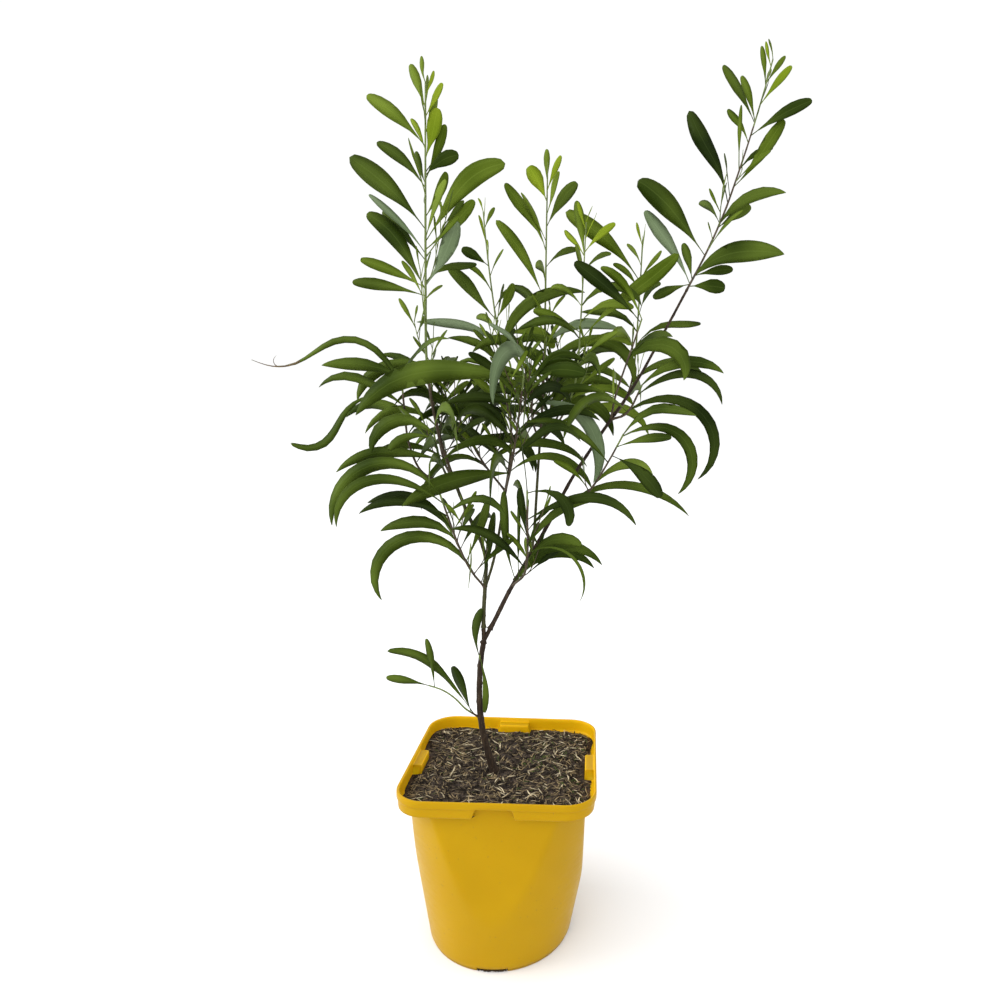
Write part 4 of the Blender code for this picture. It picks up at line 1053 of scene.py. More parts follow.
# %% Leaves of the outline
# Share of the stem, heading, slope at the root, slope at the tip, length and width (mm),
# twist, and a dip where the leaf waves.
OUTLINE_LEAVES = {
    "left_tall_shoot": (
        (0.31, 182, 10, -84, 76, 11, 0), (0.485, 190, 14, -4, 60, 10, 0), (0.505, 194, 26, 10, 56, 10, 15),
        (0.50, 178, 66, 28, 80, 15, 0), (0.51, 352, 54, 78, 60, 14, 20), (0.60, 346, 40, 54, 58, 11, 10),
        (0.59, 188, 52, 32, 64, 7, 25), (0.62, 4, 66, 18, 96, 18, 0), (0.65, 180, 50, 28, 84, 18, 0),
        (0.68, 15, 60, 76, 42, 9, 30), (0.78, 10, 54, 10, 34, 12, 10), (0.75, 180, 56, 18, 54, 10, 0),
        (0.76, 168, 66, 80, 28, 6, 0), (0.77, 15, 68, 76, 50, 8, 0), (0.82, 5, 74, 82, 42, 12, 15),
        (0.85, 184, 48, 22, 60, 12, 0), (0.88, 350, 72, 80, 34, 6, 0), (0.92, 355, 60, 66, 30, 6, 0),
        (0.94, 180, 72, 66, 36, 8, 0),
    ),
    "left_wave_spray": (
        (0.94, 182, 58, 20, 146, 6, 10, -75), (0.99, 188, 24, -18, 66, 11, 0),
        (0.90, 192, -12, 28, 110, 7, 20, -70),
    ),
    "left_arch_spray": (
        (0.98, 182, 40, -104, 72, 12, 0), (0.92, 192, 16, -64, 42, 8, 0), (0.58, 186, 16, -44, 90, 10, 0),
    ),
    "left_low_spray": (
        (0.98, 182, 48, -112, 132, 12, 0), (0.92, 194, 44, -96, 112, 9, 0), (0.80, 182, 28, -40, 78, 8, 0),
        (0.55, 176, 40, -44, 74, 11, 0), (0.16, 184, 60, -132, 144, 12, 0),
        (0.04, 12, 78, 86, 66, 8, 30), (0.34, 20, 66, 80, 58, 8, 0),
    ),
    "centre_front_spray": (
        (0.98, 188, 12, -54, 143, 19, 0), (0.97, 345, 24, -20, 54, 13, 0),
        (0.80, 180, 12, -24, 64, 9, 0), (0.20, 194, 0, -34, 106, 16, 0),
    ),
    "small_back_shoot": (
        (0.50, 184, 34, -16, 82, 9, 0), (0.60, 182, 50, 38, 64, 12, 0), (0.44, 2, 86, -20, 116, 12, 0),
        (0.60, 8, 60, 74, 38, 9, 20), (0.80, 182, 36, 20, 30, 10, 0), (0.52, 350, 40, -70, 60, 12, 0),
    ),
    "middle_tall_shoot": (
        (0.27, 350, 48, -98, 118, 12, 0), (0.50, 186, 66, 42, 86, 11, 0), (0.68, 184, 66, 42, 72, 11, 0),
        (0.77, 2, 66, 44, 50, 12, 0), (0.86, 180, 66, 50, 36, 14, 0), (0.90, 0, 72, 66, 34, 6, 0),
        (0.92, 178, 86, 90, 32, 6, 0),
    ),
    "second_shoot": (
        (0.51, 350, 46, 36, 114, 14, 0), (0.55, 182, 32, 8, 46, 9, 0), (0.66, 350, 54, -74, 66, 8, 0),
        (0.86, 172, 82, 76, 48, 9, 0), (0.88, 355, 54, 30, 36, 7, 0),
    ),
    "middle_front_spray": (
        (0.60, 350, 4, -126, 112, 13, 0), (0.98, 250, 48, -116, 110, 14, 20),
    ),
    "right_foot_spray": (
        (0.03, 355, 62, -54, 88, 10, 0), (0.16, 350, 64, -60, 92, 10, 0), (0.46, 350, 24, -128, 84, 3, 0),
        (0.76, 350, 40, -56, 104, 9, 0), (0.98, 350, 20, -116, 56, 10, 0), (0.06, 182, 72, 94, 84, 8, 0),
        (0.34, 8, 66, -40, 60, 11, 0), (0.60, 196, 76, 84, 44, 7, 0), (0.12, 120, 82, 88, 66, 8, 0),
    ),
    "right_low_spray": (
        (0.07, 355, 42, -56, 130, 8, 0), (0.80, 346, -20, -62, 56, 13, 0), (0.88, 335, 22, -2, 50, 8, 0),
        (0.98, 344, 36, -136, 106, 10, 0, -15),
    ),
    "right_arch_spray": (
        (0.15, 0, 38, -148, 148, 11, 0), (0.76, 355, 48, -78, 92, 8, 0),
    ),
    "right_upper_spray": (
        (0.24, 182, 22, -20, 50, 8, 0), (0.60, 355, 52, -116, 76, 15, 0), (0.97, 184, 46, 28, 74, 13, 0),
    ),
    "right_thin_shoot": (
        (0.79, 190, 52, 18, 96, 17, 0), (0.74, 268, 82, 84, 52, 6, 0),
    ),
    "right_tall_shoot": (
        (0.01, 6, 8, -10, 34, 13, 0), (0.02, 184, -14, -36, 36, 9, 0), (0.06, 352, 40, -22, 84, 19, 0),
        (0.02, 176, 62, 46, 76, 15, 30), (0.04, 165, 78, 66, 34, 8, 0), (0.06, 12, 20, 4, 38, 9, 0),
        (0.155, 182, 54, 30, 88, 20, 0), (0.28, 12, 42, 26, 38, 10, 0), (0.30, 350, 54, -16, 66, 11, 0),
        (0.39, 178, 70, 54, 86, 15, 0), (0.46, 5, 50, 62, 74, 12, 0), (0.53, 150, 86, 92, 56, 4, 0),
        (0.68, 355, 38, 20, 60, 11, 0), (0.74, 165, 76, 62, 42, 7, 0), (0.735, 184, 58, 42, 54, 10, 0),
        (0.81, 5, 56, 48, 44, 7, 0), (0.89, 168, 84, 76, 34, 5, 0), (0.90, 10, 60, 52, 30, 5, 0),
    ),
    "trunk_left_sprig": (
        (0.05, 182, 62, 0, 104, 9, 0), (0.12, 166, 64, 56, 46, 12, 0), (0.90, 168, 84, 72, 46, 7, 0),
        (0.98, 184, 16, 4, 40, 8, 0),
    ),
    "trunk_front_sprig": (
        (0.50, 176, 70, 122, 48, 8, 0), (0.90, 20, -74, -98, 56, 6, 20),
    ),
}

# %% How one leaf bends
LEAF_STEPS = 24
# Which steps the solid leaf has rings at, up to each length.
LEAF_RINGS = {68 * MM: (0, 8, 17, 24), 112 * MM: (0, 6, 12, 18, 24), 999 * MM: (0, 5, 10, 15, 20, 24)}
LEAF_BEND = 1.3
LEAF_ROOT_WIDTH, LEAF_TIP_WIDTH = 1.3 * MM, 1.0 * MM
SOLID_WIDEST, SHORT_WIDEST, SHORT_LENGTH = 0.62, 0.10, 60 * MM
SOLID_FULLNESS = (0.95, 0.50)
LEAF_THINNEST = 0.9 * MM
LEAF_THICKNESS_SHARE = 0.0115


def leaf_frames(root, leaf):
    """Points along a leaf's midrib, each with the ways across its blade and out of it."""
    frames = []
    point = root.copy()
    length = leaf["length"] * MM
    for step in range(LEAF_STEPS + 1):
        share = step / LEAF_STEPS
        slope = leaf["rise"] + (leaf["fall"] - leaf["rise"]) * share ** LEAF_BEND
        slope += leaf["dip"] * math.sin(math.pi * share ** LEAF_BEND) ** 2
        heading = leaf["heading"] + leaf["turn"] * share
        along = way_of(heading, slope)
        upright = way_of(heading, slope + 90)
        sideways = along.cross(upright)
        twist = math.radians(leaf["twist"] * share ** 0.5)
        across = upright * math.cos(twist) + sideways * math.sin(twist)
        out = along.cross(across)
        frames.append((point.copy(), across, out))
        point += along * (length / LEAF_STEPS)
    return frames


def swell_at(share, widest, near_root, near_tip):
    """How wide a blade is along its length, 1 where it is widest."""
    swell = math.sin(math.pi * share ** (math.log(0.5) / math.log(widest)))
    return max(swell, 0) ** (near_root + (near_tip - near_root) * share)


def blade_width(share, width, length):
    """Outline of the solid leaf: narrow root, widest past the middle, blunt tip."""
    widest = SOLID_WIDEST + SHORT_WIDEST * max(0, 1 - length / SHORT_LENGTH)
    narrowest = LEAF_ROOT_WIDTH + (LEAF_TIP_WIDTH - LEAF_ROOT_WIDTH) * share
    return max(width * swell_at(share, widest, *SOLID_FULLNESS), narrowest)


def solid_rings(frames, leaf, spare=0):
    """The solid leaf's own sections, or with some spare a box all round it."""
    length = leaf["length"] * MM
    thickness = max(LEAF_THINNEST, LEAF_THICKNESS_SHARE * length)
    steps = next(steps for limit, steps in LEAF_RINGS.items() if length <= limit)
    rings = []
    for step in steps:
        point, across, out = frames[step]
        side = across * (blade_width(step / LEAF_STEPS, leaf["width"] * MM, length) / 2 + spare)
        back = -out * (thickness / 3 + spare)
        front = out * (thickness * 2 / 3 + spare)
        ridge = [point - side + front, point + side + front] if spare else [point + front]
        rings.append([point + side + back, point - side + back] + ridge)
    return rings


def tree_of(rings):
    """A search tree, in millimetres, over the skin of a body given by its rings."""
    count = len(rings[0])
    verts = [corner / MM for ring in rings for corner in ring]
    faces = [tuple(range(count)), tuple(range(len(verts) - count, len(verts)))]
    for ring in range(len(rings) - 1):
        for side in range(count):
            a, b = ring * count + side, ring * count + (side + 1) % count
            # Each quad is bent, so it is cut in two along both of its diagonals.
            faces += [(a, b, b + count), (a, b + count, a + count)]
            faces += [(a, b, a + count), (b, b + count, a + count)]
    return BVHTree.FromPolygons(verts, faces)


# %% Which leaves a shoot bears
# How far one grown leaf may differ from the rule: shares of its size, then degrees.
LENGTH_VARIES, WIDTH_VARIES = 0.14, 0.12
HEADING_VARIES, RISE_VARIES, FALL_VARIES = 14, 8, 26
TWIST_VARIES, TURN_VARIES, DIP_VARIES = 38, 22, 20


def grown_leaves(row):
    """The seeded rule: leaves round the stem by the golden angle, young at the tip."""
    draw = random.Random(row.get("seed"))
    for index in range(row.get("leaves", 0)):
        age = index / max(row["leaves"] - 1, 1)
        jitter = [draw.uniform(-1, 1) for _ in range(7)]
        pairs = (row[size] for size in ("long", "width", "rise_out", "fall"))
        length, width, rise, fall = (low + (tip - low) * age for low, tip in pairs)
        length *= 1 + LENGTH_VARIES * jitter[0]
        yield dict(at=row["start"] + (1 - row["start"]) * age,
                   heading=row["first"] + GOLDEN_ANGLE * index + HEADING_VARIES * jitter[1],
                   rise=rise + RISE_VARIES * jitter[2], fall=fall + FALL_VARIES * jitter[3],
                   length=length, width=length * width * (1 + WIDTH_VARIES * jitter[4]),
                   twist=TWIST_VARIES * jitter[5], turn=TURN_VARIES * jitter[6],
                   dip=DIP_VARIES * jitter[6])


def outline_leaves(row):
    """The outline leaves of a shoot; an eighth size, where there is one, is a dip."""
    for sizes in OUTLINE_LEAVES.get(row["name"], ()):
        named = zip(("at", "heading", "rise", "fall", "length", "width", "twist", "dip"), (*sizes, 0))
        yield dict(named, turn=0)


# %% Find room for a leaf
LEAF_CLEARANCE = 0.6 * MM
LEAF_ROOT_SUNK = 0.6
TRY_TURNS = (0, 12, -12, 24, -24, 38, -38)
LOWEST_LEAF = POT_HEIGHT + 12 * MM


def place_leaf(stem, leaf, row, own, others, spare=LEAF_CLEARANCE):
    """The leaf, turned so that it keeps clear of everything else, with its frames, or None."""
    point, way, radius = stem.at(leaf["at"])
    for turn in TRY_TURNS:
        tried = dict(leaf, heading=leaf["heading"] + turn)
        root = point - way_of(tried["heading"], tried["rise"]) * radius * LEAF_ROOT_SUNK
        frames = leaf_frames(root, tried)
        reach = row["reach"] * MM
        if min(spot.z for spot, across, out in frames) < LOWEST_LEAF:
            continue
        if min((frames[-1][0] - spot).length for spot in stem.points) > reach:
            continue
        wide = solid_rings(frames, tried, spare)
        if any(tree_of(wide).overlap(tree) for tree in others):
            continue
        outer = tree_of(wide[1:])
        if any(outer.overlap(tree) for tree in own):
            continue
        return tried, frames
    return None


def keep_leaf(mass, placed, rule, index):
    """Note a leaf that found room with its shoot, and its skin for those that follow."""
    if placed:
        leaf, frames = placed
        mass["leaves"].append(dict(leaf, frames=frames, rule=rule, index=index))
        mass["trees"].append(tree_of(solid_rings(frames, leaf)))


# %% Place the leaves
trunk_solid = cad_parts["trunk"].data
limb_trees = [BVHTree.FromPolygons([vert.co / MM for vert in trunk_solid.vertices],
                                   [tuple(face.vertices) for face in trunk_solid.polygons])]
limb_trees += [tree_of(stems[row["name"]].rings(LIMB_SIDES)) for row in BOUGHS]
masses = {}
for row in SHOOTS:
    steps = max(FEWEST_STEPS, int(row["length"] * MM / TWIG_STEP))
    stem = Stem(*next_foot(stems[row["on"]], row), row, steps)
    masses[row["name"]] = dict(stem=stem, leaves=[], trees=[tree_of(stem.rings(TWIG_SIDES))])
for rule in (outline_leaves, grown_leaves):
    for row in SHOOTS:
        mass = masses[row["name"]]
        others = limb_trees + [tree for name, other in masses.items() if name != row["name"]
                               for tree in other["trees"]]
        for index, leaf in enumerate(rule(row)):
            placed = place_leaf(mass["stem"], leaf, row, mass["trees"][1:], others)
            keep_leaf(mass, placed, rule.__name__, index)
print("leaves placed:", sum(len(mass["leaves"]) for mass in masses.values()))

# %% [markdown]
# ## Finer twigs and tip leaves
# Nearer to, a shoot has more than its large leaves: small side twigs from the leaf axils
# with a few short leaves of their own, and a tuft of tiny upright leaves at each growing
# tip. They follow the same rule at a smaller size, and stay inside the shoot's own reach.

# %% Side twigs and tufts
SIDE_TWIGS = {
    # shoot: how many side twigs, from and to along the stem, length from and to (mm)
    "left_tall_shoot": (5, 0.22, 0.62, 26, 52), "small_back_shoot": (4, 0.12, 0.6, 18, 40),
    "middle_tall_shoot": (3, 0.10, 0.45, 20, 40), "second_shoot": (2, 0.2, 0.5, 16, 34),
    "centre_front_spray": (9, 0.15, 0.9, 30, 58), "centre_back_spray": (9, 0.15, 0.9, 30, 58),
    "left_back_spray": (5, 0.2, 0.9, 26, 50), "middle_back_spray": (5, 0.3, 0.9, 26, 50),
    "middle_front_spray": (7, 0.2, 0.95, 26, 50), "right_thin_shoot": (2, 0.2, 0.5, 16, 34),
    "right_tall_shoot": (3, 0.1, 0.55, 10, 18),
    "left_arch_spray": (2, 0.4, 0.9, 16, 28), "left_low_spray": (3, 0.05, 0.7, 22, 36),
    "right_low_spray": (1, 0.3, 0.8, 14, 26), "right_foot_spray": (4, 0.06, 0.7, 26, 44),
}
TUFTS = ("left_tall_shoot", "small_back_shoot", "middle_tall_shoot", "second_shoot", "right_thin_shoot",
         "right_tall_shoot", "left_back_spray", "middle_back_spray", "centre_back_spray")
TUFT_LEAVES = 5
SMALL_CLEARANCE = 0.25 * MM
TWIG_RADII, TWIG_LEAN = (0.55, 0.35), 0.9
TWIG_RISES, TWIG_END_RISES = (52, 72), (70, 84)
TWIG_LEAF_SPACING = 12
TWIG_LEAF_LONGEST, TWIG_LEAF_SHORTER = 44, 26
TUFT_LEAF_LONGEST, TUFT_LEAF_SHORTER = 22, 3
side_twigs = []


def try_leaf(mass, stem, leaf, row, name):
    """Place one small leaf clear of all others, and note it with its shoot."""
    others = limb_trees + [tree for other in masses.values() for tree in other["trees"][1:]]
    keep_leaf(mass, place_leaf(stem, leaf, row, (), others, SMALL_CLEARANCE), name, 0)


draw = random.Random(77)
for row in SHOOTS:
    mass = masses[row["name"]]
    stem = mass["stem"]
    count, low, high, shortest, longest = SIDE_TWIGS.get(row["name"], (0, 0, 0, 0, 0))
    for index in range(count):
        at = low + (high - low) * (index + draw.uniform(0.1, 0.9)) / count
        length = draw.uniform(shortest, longest)
        heading = draw.uniform(0, 360)
        point, way, radius = stem.at(at)
        twig_row = dict(length=length, radii=TWIG_RADII, heading=heading, rise=draw.uniform(*TWIG_RISES),
                        end_rise=draw.uniform(*TWIG_END_RISES), reach=row["reach"])
        first_way = (way + way_of(heading, 0) * TWIG_LEAN).normalized()
        twig = Stem(point, first_way, twig_row, FEWEST_STEPS)
        side_twigs.append((row["name"], twig))
        leaves = 3 + int(length / TWIG_LEAF_SPACING)
        for number in range(leaves):
            age = number / (leaves - 1)
            size = (TWIG_LEAF_LONGEST - TWIG_LEAF_SHORTER * age) * draw.uniform(0.75, 1.15)
            small = dict(at=0.25 + 0.75 * age,
                         heading=heading + GOLDEN_ANGLE * number + draw.uniform(-15, 15),
                         rise=48 + 24 * age + draw.uniform(-8, 8),
                         fall=24 + 44 * age + draw.uniform(-18, 14),
                         length=size, width=size * draw.uniform(0.12, 0.17),
                         twist=draw.uniform(-30, 30), turn=draw.uniform(-15, 15), dip=0)
            try_leaf(mass, twig, small, twig_row, "twig")
    if row["name"] in TUFTS:
        first = draw.uniform(0, 360)
        for number in range(TUFT_LEAVES):
            size = (TUFT_LEAF_LONGEST - TUFT_LEAF_SHORTER * number) * draw.uniform(0.85, 1.15)
            small = dict(at=0.97 + 0.007 * number, heading=first + GOLDEN_ANGLE * number,
                         rise=68 + 4 * number, fall=76 + 2 * number, length=size, width=size * 0.15,
                         twist=0, turn=0, dip=0)
            try_leaf(mass, stem, small, row, "tuft")
print("with small leaves:", sum(len(mass["leaves"]) for mass in masses.values()), "leaves")

# %% [markdown]
# ## Leaf blades
# A leaf here is a flattened stalk with no leaflets: a leathery blade, narrow at its root and
# widest past its middle, with one raised vein and a blunt tip, that stands on edge. Each
# is one thin closed body of six-sided sections: two edges, the front with its vein and
# the back. Along the blade there are just enough sections for its bend, and they stand closer
# together at the tip to make it round. A blade also waves a little along its edges.

# %% One blade
# Which of a leaf's steps its blade has sections at, up to each length in mm.
BLADE_SECTIONS = {
    36: (0, 4, 9, 14, 18, 21, 23, 23.6, 24),
    80: (0, 3, 7, 11, 14, 17, 20, 22, 23.2, 23.75, 24),
    999: (0, 2, 4, 6, 7.5, 9, 10.5, 12, 13.5, 15, 16.5, 18, 19.5, 21, 22.4, 23.4, 24),
}
# Where a blade is widest, and how it fills out towards its root and its tip.
UPRIGHT_FORM, HANGING_FORM, DRY_FORM = (0.71, 1.15, 0.40), (0.58, 0.95, 0.76), (0.36, 0.90, 1.70)
LONG_LEAF = 60
NARROWEST, NARROWER_AT_TIP = 0.9, 0.4
BLADE_THICKNESS, THICK_ROOT, THINS_BY = 0.42 * MM, 1.9, 1.2
VEIN_DEPTH = 0.16
# One section's corners: share of the half width across, and of the thickness out.
BLADE_CORNERS = ((1, 0), (0.45, 1), (0, 1 - 2 * VEIN_DEPTH), (-0.45, 1), (-1, 0), (0, -1))
SWAY = 0.022
CUP = 0.16
EDGE_WAVE, FULL_WAVE_LENGTH = 0.9 * MM, 80 * MM
TIP_TURN = 0.12
NOTCHED_SHARE, TIP_NOTCH = 0.16, 1.6 * MM

# The long leaf that reaches furthest left has a dry tip.
dry_leaf = min(masses["left_wave_spray"]["leaves"], key=lambda leaf: leaf["frames"][-1][0].x)


def frame_at(frames, step):
    """A leaf's frame between two of its steps."""
    low = min(int(step), len(frames) - 2)
    return [a.lerp(b, step - low) for a, b in zip(frames[low], frames[low + 1])]


def blade(leaf, draw):
    """One thin closed blade: corners, faces, and where each corner is along and across."""
    frames, length = leaf["frames"], leaf["length"] * MM
    steps = next(steps for limit, steps in BLADE_SECTIONS.items() if leaf["length"] <= limit)
    phase, waves, cup = draw.uniform(0, 6.28), draw.uniform(1.5, 3.2), CUP * draw.uniform(-0.4, 1.4)
    wave = EDGE_WAVE * draw.uniform(0.15, 1.0) * min(length / FULL_WAVE_LENGTH, 1)
    tip_turn, notched = draw.uniform(-1, 1), draw.random() < NOTCHED_SHARE
    is_dry, is_long = leaf is dry_leaf, leaf["length"] > LONG_LEAF
    form = DRY_FORM if is_dry else HANGING_FORM if is_long and leaf["fall"] < 0 else UPRIGHT_FORM
    sway = length * SWAY * (draw.uniform(-1, 1) if is_long and not is_dry else 0)
    rings, uvs = [], []
    for step in steps:
        share = step / LEAF_STEPS
        point, across, out = frame_at(frames, step)
        along = across.cross(out)
        point = point + across * sway * math.sin(2 * math.pi * share)
        widest = max(leaf["width"] * swell_at(share, *form), NARROWEST - NARROWER_AT_TIP * share)
        half = widest / 2 * MM
        thick = BLADE_THICKNESS / 2 * (THICK_ROOT - THINS_BY * share)
        fade = math.sin(math.pi * min(share * 1.1, 1))
        bulge = wave * math.sin(phase + 2 * math.pi * waves * share) * fade
        ring = []
        for v, front in BLADE_CORNERS:
            lift = cup * half * abs(v) ** 1.5 + bulge * v * abs(v) + thick * front
            corner = point + across * half * v + out * lift
            if step == steps[-1] and notched:
                corner -= along * (1 - abs(v)) * TIP_NOTCH
            if step >= steps[-3]:
                corner += across * tip_turn * TIP_TURN * half * (step - steps[-3])
            ring.append(corner)
            uvs.append((share * length * 10, v * 0.5 + 0.5))
        rings.append(ring)
    return *tube_arrays(rings), uvs


# %% [markdown]
# ## Leaf colours
# The photo shows five greens: deep ones in the shade of the crown, the duller green of old
# leaves, a fresher one on the upper shoots, yellow-green at the growing tips, and a few blades
# with a pale grey-green sheen. The deep green is painted shade near the crown's middle and a
# darker tone elsewhere, and the pale green is a painted sheen. The leaves are dealt out one by
# one and joined by colour, and noise lets each colour drift a little. The vein and the margins
# are paler, and fine lines run lengthwise. They follow the blade's own map, along and across.

# %% Leaf finishes
LEAF_GLOSS = 0.05
GREEN_DRIFT_GRAIN = 20
VEIN_PALE, MARGIN_PALE = 0.22, 0.24
LINE_STRETCH, LINE_GRAIN, LINE_DEPTH = (0.8, 14, 1), 3.0, 0.2 * MM
LEAF_COLOURS = {
    # kind: colour where it drifts low and high, roughness
    # deep: painted shade for leaves near the crown's middle, and a darker tone for others.
    "deep": ((0.009, 0.018, 0.001), (0.034, 0.054, 0.006), 0.46),
    "old": ((0.020, 0.036, 0.002), (0.075, 0.112, 0.012), 0.46),
    "fresh": ((0.052, 0.084, 0.003), (0.135, 0.190, 0.020), 0.48),
    "young": ((0.135, 0.195, 0.007), (0.195, 0.260, 0.014), 0.50),
    # pale: a painted sheen, light reflected off the blade.
    "pale": ((0.115, 0.160, 0.078), (0.165, 0.215, 0.118), 0.55),
}


def leaf_finish(kind, low, high, roughness):
    """Leathery blade: a drift of green, a paler vein and fine lengthwise lines."""
    made, tree, shader = plain_finish(kind + "_leaf", high, roughness)
    shader.inputs["Specular IOR Level"].default_value = LEAF_GLOSS
    drift = ramp(tree, object_noise(tree, GREEN_DRIFT_GRAIN, 1), ((0.34, low), (0.66, high)))
    place = tree.nodes.new("ShaderNodeUVMap")
    place.uv_map = "along_and_across"
    split = tree.nodes.new("ShaderNodeSeparateXYZ")
    tree.links.new(place.outputs["UV"], split.inputs["Vector"])
    vein = ramp(tree, split.outputs["Y"], ((0.0, MARGIN_PALE), (0.06, 0.0), (0.465, 0.0), (0.5, VEIN_PALE),
                                          (0.535, 0.0), (0.94, 0.0), (1.0, MARGIN_PALE)))
    pale = tuple(min(part * 1.5 + 0.02, 1) for part in high)
    tree.links.new(blend_colours(tree, vein, drift, pale), shader.inputs["Base Color"])
    lines = add_node(tree, "ShaderNodeMapping", Scale=LINE_STRETCH)
    tree.links.new(place.outputs["UV"], lines.inputs["Vector"])
    grain = add_node(tree, "ShaderNodeTexNoise", Scale=LINE_GRAIN, Detail=2.0)
    tree.links.new(lines.outputs["Vector"], grain.inputs["Vector"])
    add_bump(tree, shader, grain.outputs["Fac"], 0.22, LINE_DEPTH)
    return made


leaf_finishes = {kind: leaf_finish(kind, *values) for kind, values in LEAF_COLOURS.items()}

# %% Deal the leaves out by colour
PAINTED_SHEEN_LEAVES = {
    # shoot: which of its outline leaves get the pale green of a painted sheen
    "left_tall_shoot": (4, 6), "middle_front_spray": (0, 1), "right_tall_shoot": (3,),
    "small_back_shoot": (0,),
}
TALL_SHOOTS = ("left_tall_shoot", "middle_tall_shoot", "right_tall_shoot", "second_shoot", "small_back_shoot",
               "right_thin_shoot")
YOUNG_FROM, FRESH_FROM = 0.80, 0.45
# Leaves within this reach of the crown's middle mostly get the deep green, as painted shade.
CROWN_MIDDLE = Vector((-10, 10, 440)) * MM
CROWN_SHADE_REACH = 95 * MM


def colour_of(name, leaf, draw):
    """The green of one leaf, by its shoot and its age, with painted shade near the crown's middle and a
    painted sheen on a few.
    """
    # Painted sheen: the listed outline leaves get the pale green.
    if leaf["rule"] == "outline_leaves" and leaf["index"] in PAINTED_SHEEN_LEAVES.get(name, ()):
        return "pale"
    tall = name in TALL_SHOOTS
    if leaf["rule"] == "tuft":
        return "young" if tall else "fresh"
    if leaf["rule"] == "twig":
        return draw.choice(("fresh", "fresh", "old") if tall else ("old", "deep", "fresh"))
    if tall and leaf["at"] > YOUNG_FROM and leaf["length"] < 58:
        return "young" if draw.random() < 0.62 else "fresh"
    if tall and leaf["at"] > FRESH_FROM:
        return "fresh" if draw.random() < 0.6 else "old"
    # Painted shade: near the crown's middle most leaves get the deep green.
    if (leaf["frames"][12][0] - CROWN_MIDDLE).length < CROWN_SHADE_REACH:
        return "deep" if draw.random() < 0.62 else "old"
    if leaf["rule"] == "outline_leaves":
        return "old" if draw.random() < 0.75 else "deep"
    # Painted sheen: a few other leaves get the pale green.
    return "pale" if draw.random() < 0.08 else "fresh" if draw.random() < 0.16 else "old"


draw = random.Random(5)
heaps = {kind: Heap() for kind in LEAF_COLOURS}
for name, mass in masses.items():
    for leaf in mass["leaves"]:
        heaps[colour_of(name, leaf, draw)].add(*blade(leaf, draw))
for kind, heap in heaps.items():
    piece = add_object(kind + "_leaves", heap.mesh(kind + "_leaves"), leaf_finishes[kind])
    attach(piece, "root")
    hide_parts(*masses)
    print(kind, "leaves:", heap.triangles(), "triangles")

# %% [markdown]
# ## A dry leaf tip
# One long leaf at the left has died back from its end: the blade narrows early, and what is
# left is a brown strand that forks and curls. Painting the end of the blade brown would keep
# its flat outline, so the strand is a piece of its own. It follows the leaf's own midrib and
# thins to its end, and a short side strand turns a little at each step.

# %% The dry tip of the long left leaf
DRY_FROM, DRY_STEPS, DRY_SIDES = 0.72, 16, 5
DRY_HALF, DRY_THINS_BY, DRY_FLATNESS = 1.0 * MM, 0.8, 0.6
DRY_CURL = math.radians(150)
DRY_FORK, DRY_FORK_LENGTH = 0.84, 13 * MM


def dry_rings(places):
    """Rings of a strand that thins to its end, round (point, side, other side) places."""
    rings = []
    for step, (point, side, other) in enumerate(places):
        half = DRY_HALF * (1 - DRY_THINS_BY * step / (len(places) - 1))
        rings.append(corners_round(point, side, other * DRY_FLATNESS, [half] * DRY_SIDES))
    return tube_arrays(rings)


def dry_fork(leaf):
    """A short strand that leaves the tip and curls up."""
    point, across, out = frame_at(leaf["frames"], DRY_FORK * LEAF_STEPS)
    way = across.cross(out)
    places = []
    for _ in range(DRY_STEPS + 1):
        places.append((point, out.cross(way) * 0.5, out * 0.8))
        point = point + way * (DRY_FORK_LENGTH / DRY_STEPS)
        way = Matrix.Rotation(DRY_CURL / DRY_STEPS, 3, out) @ way
    return places


dry_heap = Heap()
shares = [DRY_FROM + (1 - DRY_FROM) * step / DRY_STEPS for step in range(DRY_STEPS + 1)]
dry_heap.add(*dry_rings([frame_at(dry_leaf["frames"], share * LEAF_STEPS) for share in shares]))
dry_heap.add(*dry_rings(dry_fork(dry_leaf)))
dry_tip = add_object("dry_leaf_tip", dry_heap.mesh("dry_leaf_tip"), bark_finish("dry_leaf"))
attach(dry_tip, "root")
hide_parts("left_wave_spray")
print("dry leaf tip:", dry_heap.triangles(), "triangles")

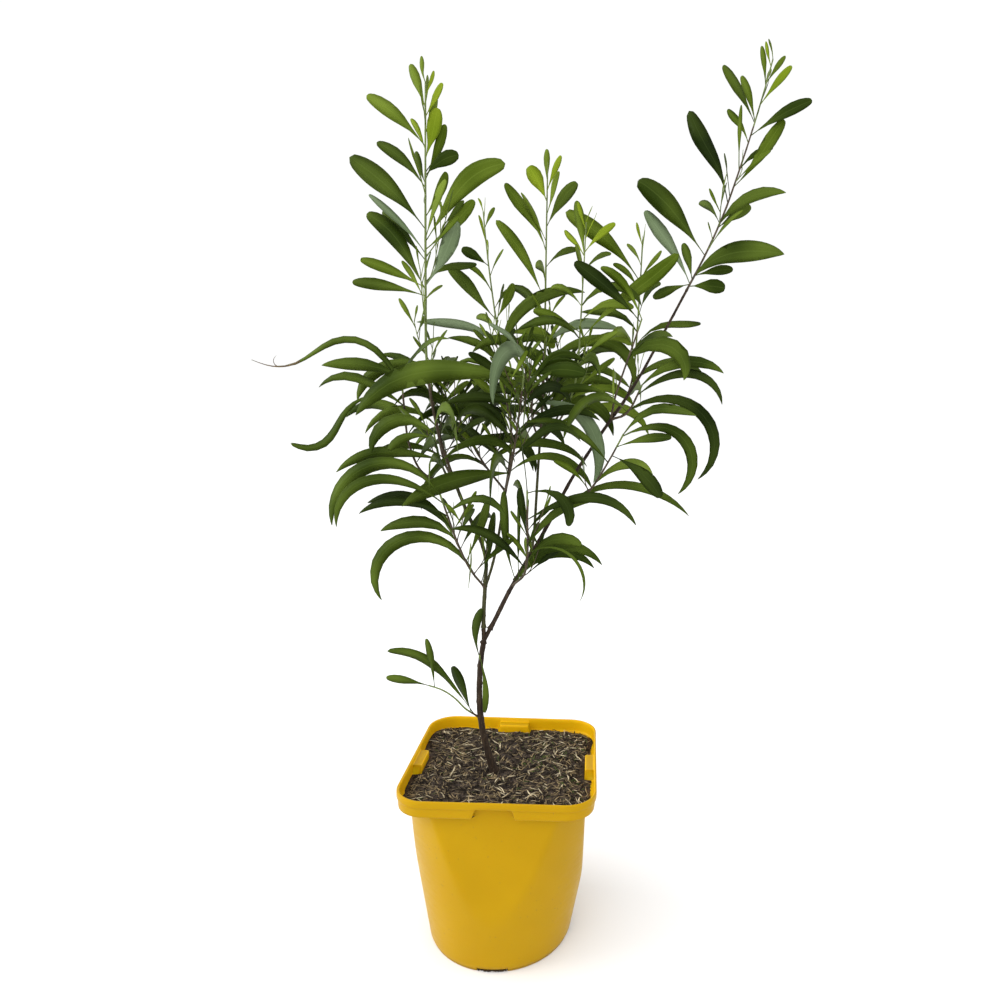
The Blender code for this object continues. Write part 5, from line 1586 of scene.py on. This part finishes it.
# %% [markdown]
# ## Stems of the shoots
# The shoots' own stems are brown and woody below and soft green above, and they thicken a
# little where each leaf sits. They grow out of the boughs without a gap. Each is one tube along
# a smooth curve, cut where its colour changes, and joined by colour like the leaves.

# %% Shoot stems
STEM_SIDES, STEM_STEP, STEM_SUNK, STEM_RELIEF = 8, 3.5 * MM, 2.4 * MM, 0.04
TWIG_STEM_SIDES, TWIG_STEM_STEP = 5, 5 * MM
FIRST_STEM_SEED = 20
# The share of a stem from which it is green; the others are green only at their ends.
MOSTLY_BROWN = 0.88
GREEN_FROM = {"right_tall_shoot": 0.72, "left_tall_shoot": 0.30, "middle_tall_shoot": 0.42,
              "right_thin_shoot": 0.35, "small_back_shoot": 0.3, "second_shoot": 0.2,
              "trunk_left_sprig": 0.2, "trunk_front_sprig": 0.0}


stem_heaps = {"brown": Heap(), "green": Heap()}
for seed, (name, mass) in enumerate(masses.items(), FIRST_STEM_SEED):
    rings = limb_rings(mass["stem"], STEM_SIDES, STEM_STEP, seed, sunk=STEM_SUNK, relief=STEM_RELIEF)
    cut = max(2, round(GREEN_FROM.get(name, MOSTLY_BROWN) * (len(rings) - 1)))
    for kind, part in (("brown", rings[:cut + 1]), ("green", rings[cut:])):
        if len(part) > 1:
            stem_heaps[kind].add(*tube_arrays(part))
for seed, (name, twig) in enumerate(side_twigs):
    rings = limb_rings(twig, TWIG_STEM_SIDES, TWIG_STEM_STEP, seed, relief=0.0)
    stem_heaps["green" if name in TALL_SHOOTS else "brown"].add(*tube_arrays(rings))
for kind, heap in stem_heaps.items():
    piece = add_object(kind + "_stems", heap.mesh(kind + "_stems"), bark_finish(kind + "_stem"))
    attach(piece, "root")
    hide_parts(*masses)
    print(kind, "stems:", heap.triangles(), "triangles")

# %% [markdown]
# ## Boxes
# The boxes of the solids and of the dressed plant are printed side by side. The dressed
# plant may not outgrow its solids.

# %% Boxes and the end
dressed_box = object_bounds()
for name, low, high in (("solids", *cad_box), ("dressed", *dressed_box)):
    print(name, [round(part / MM, 1) for part in low], [round(part / MM, 1) for part in high])
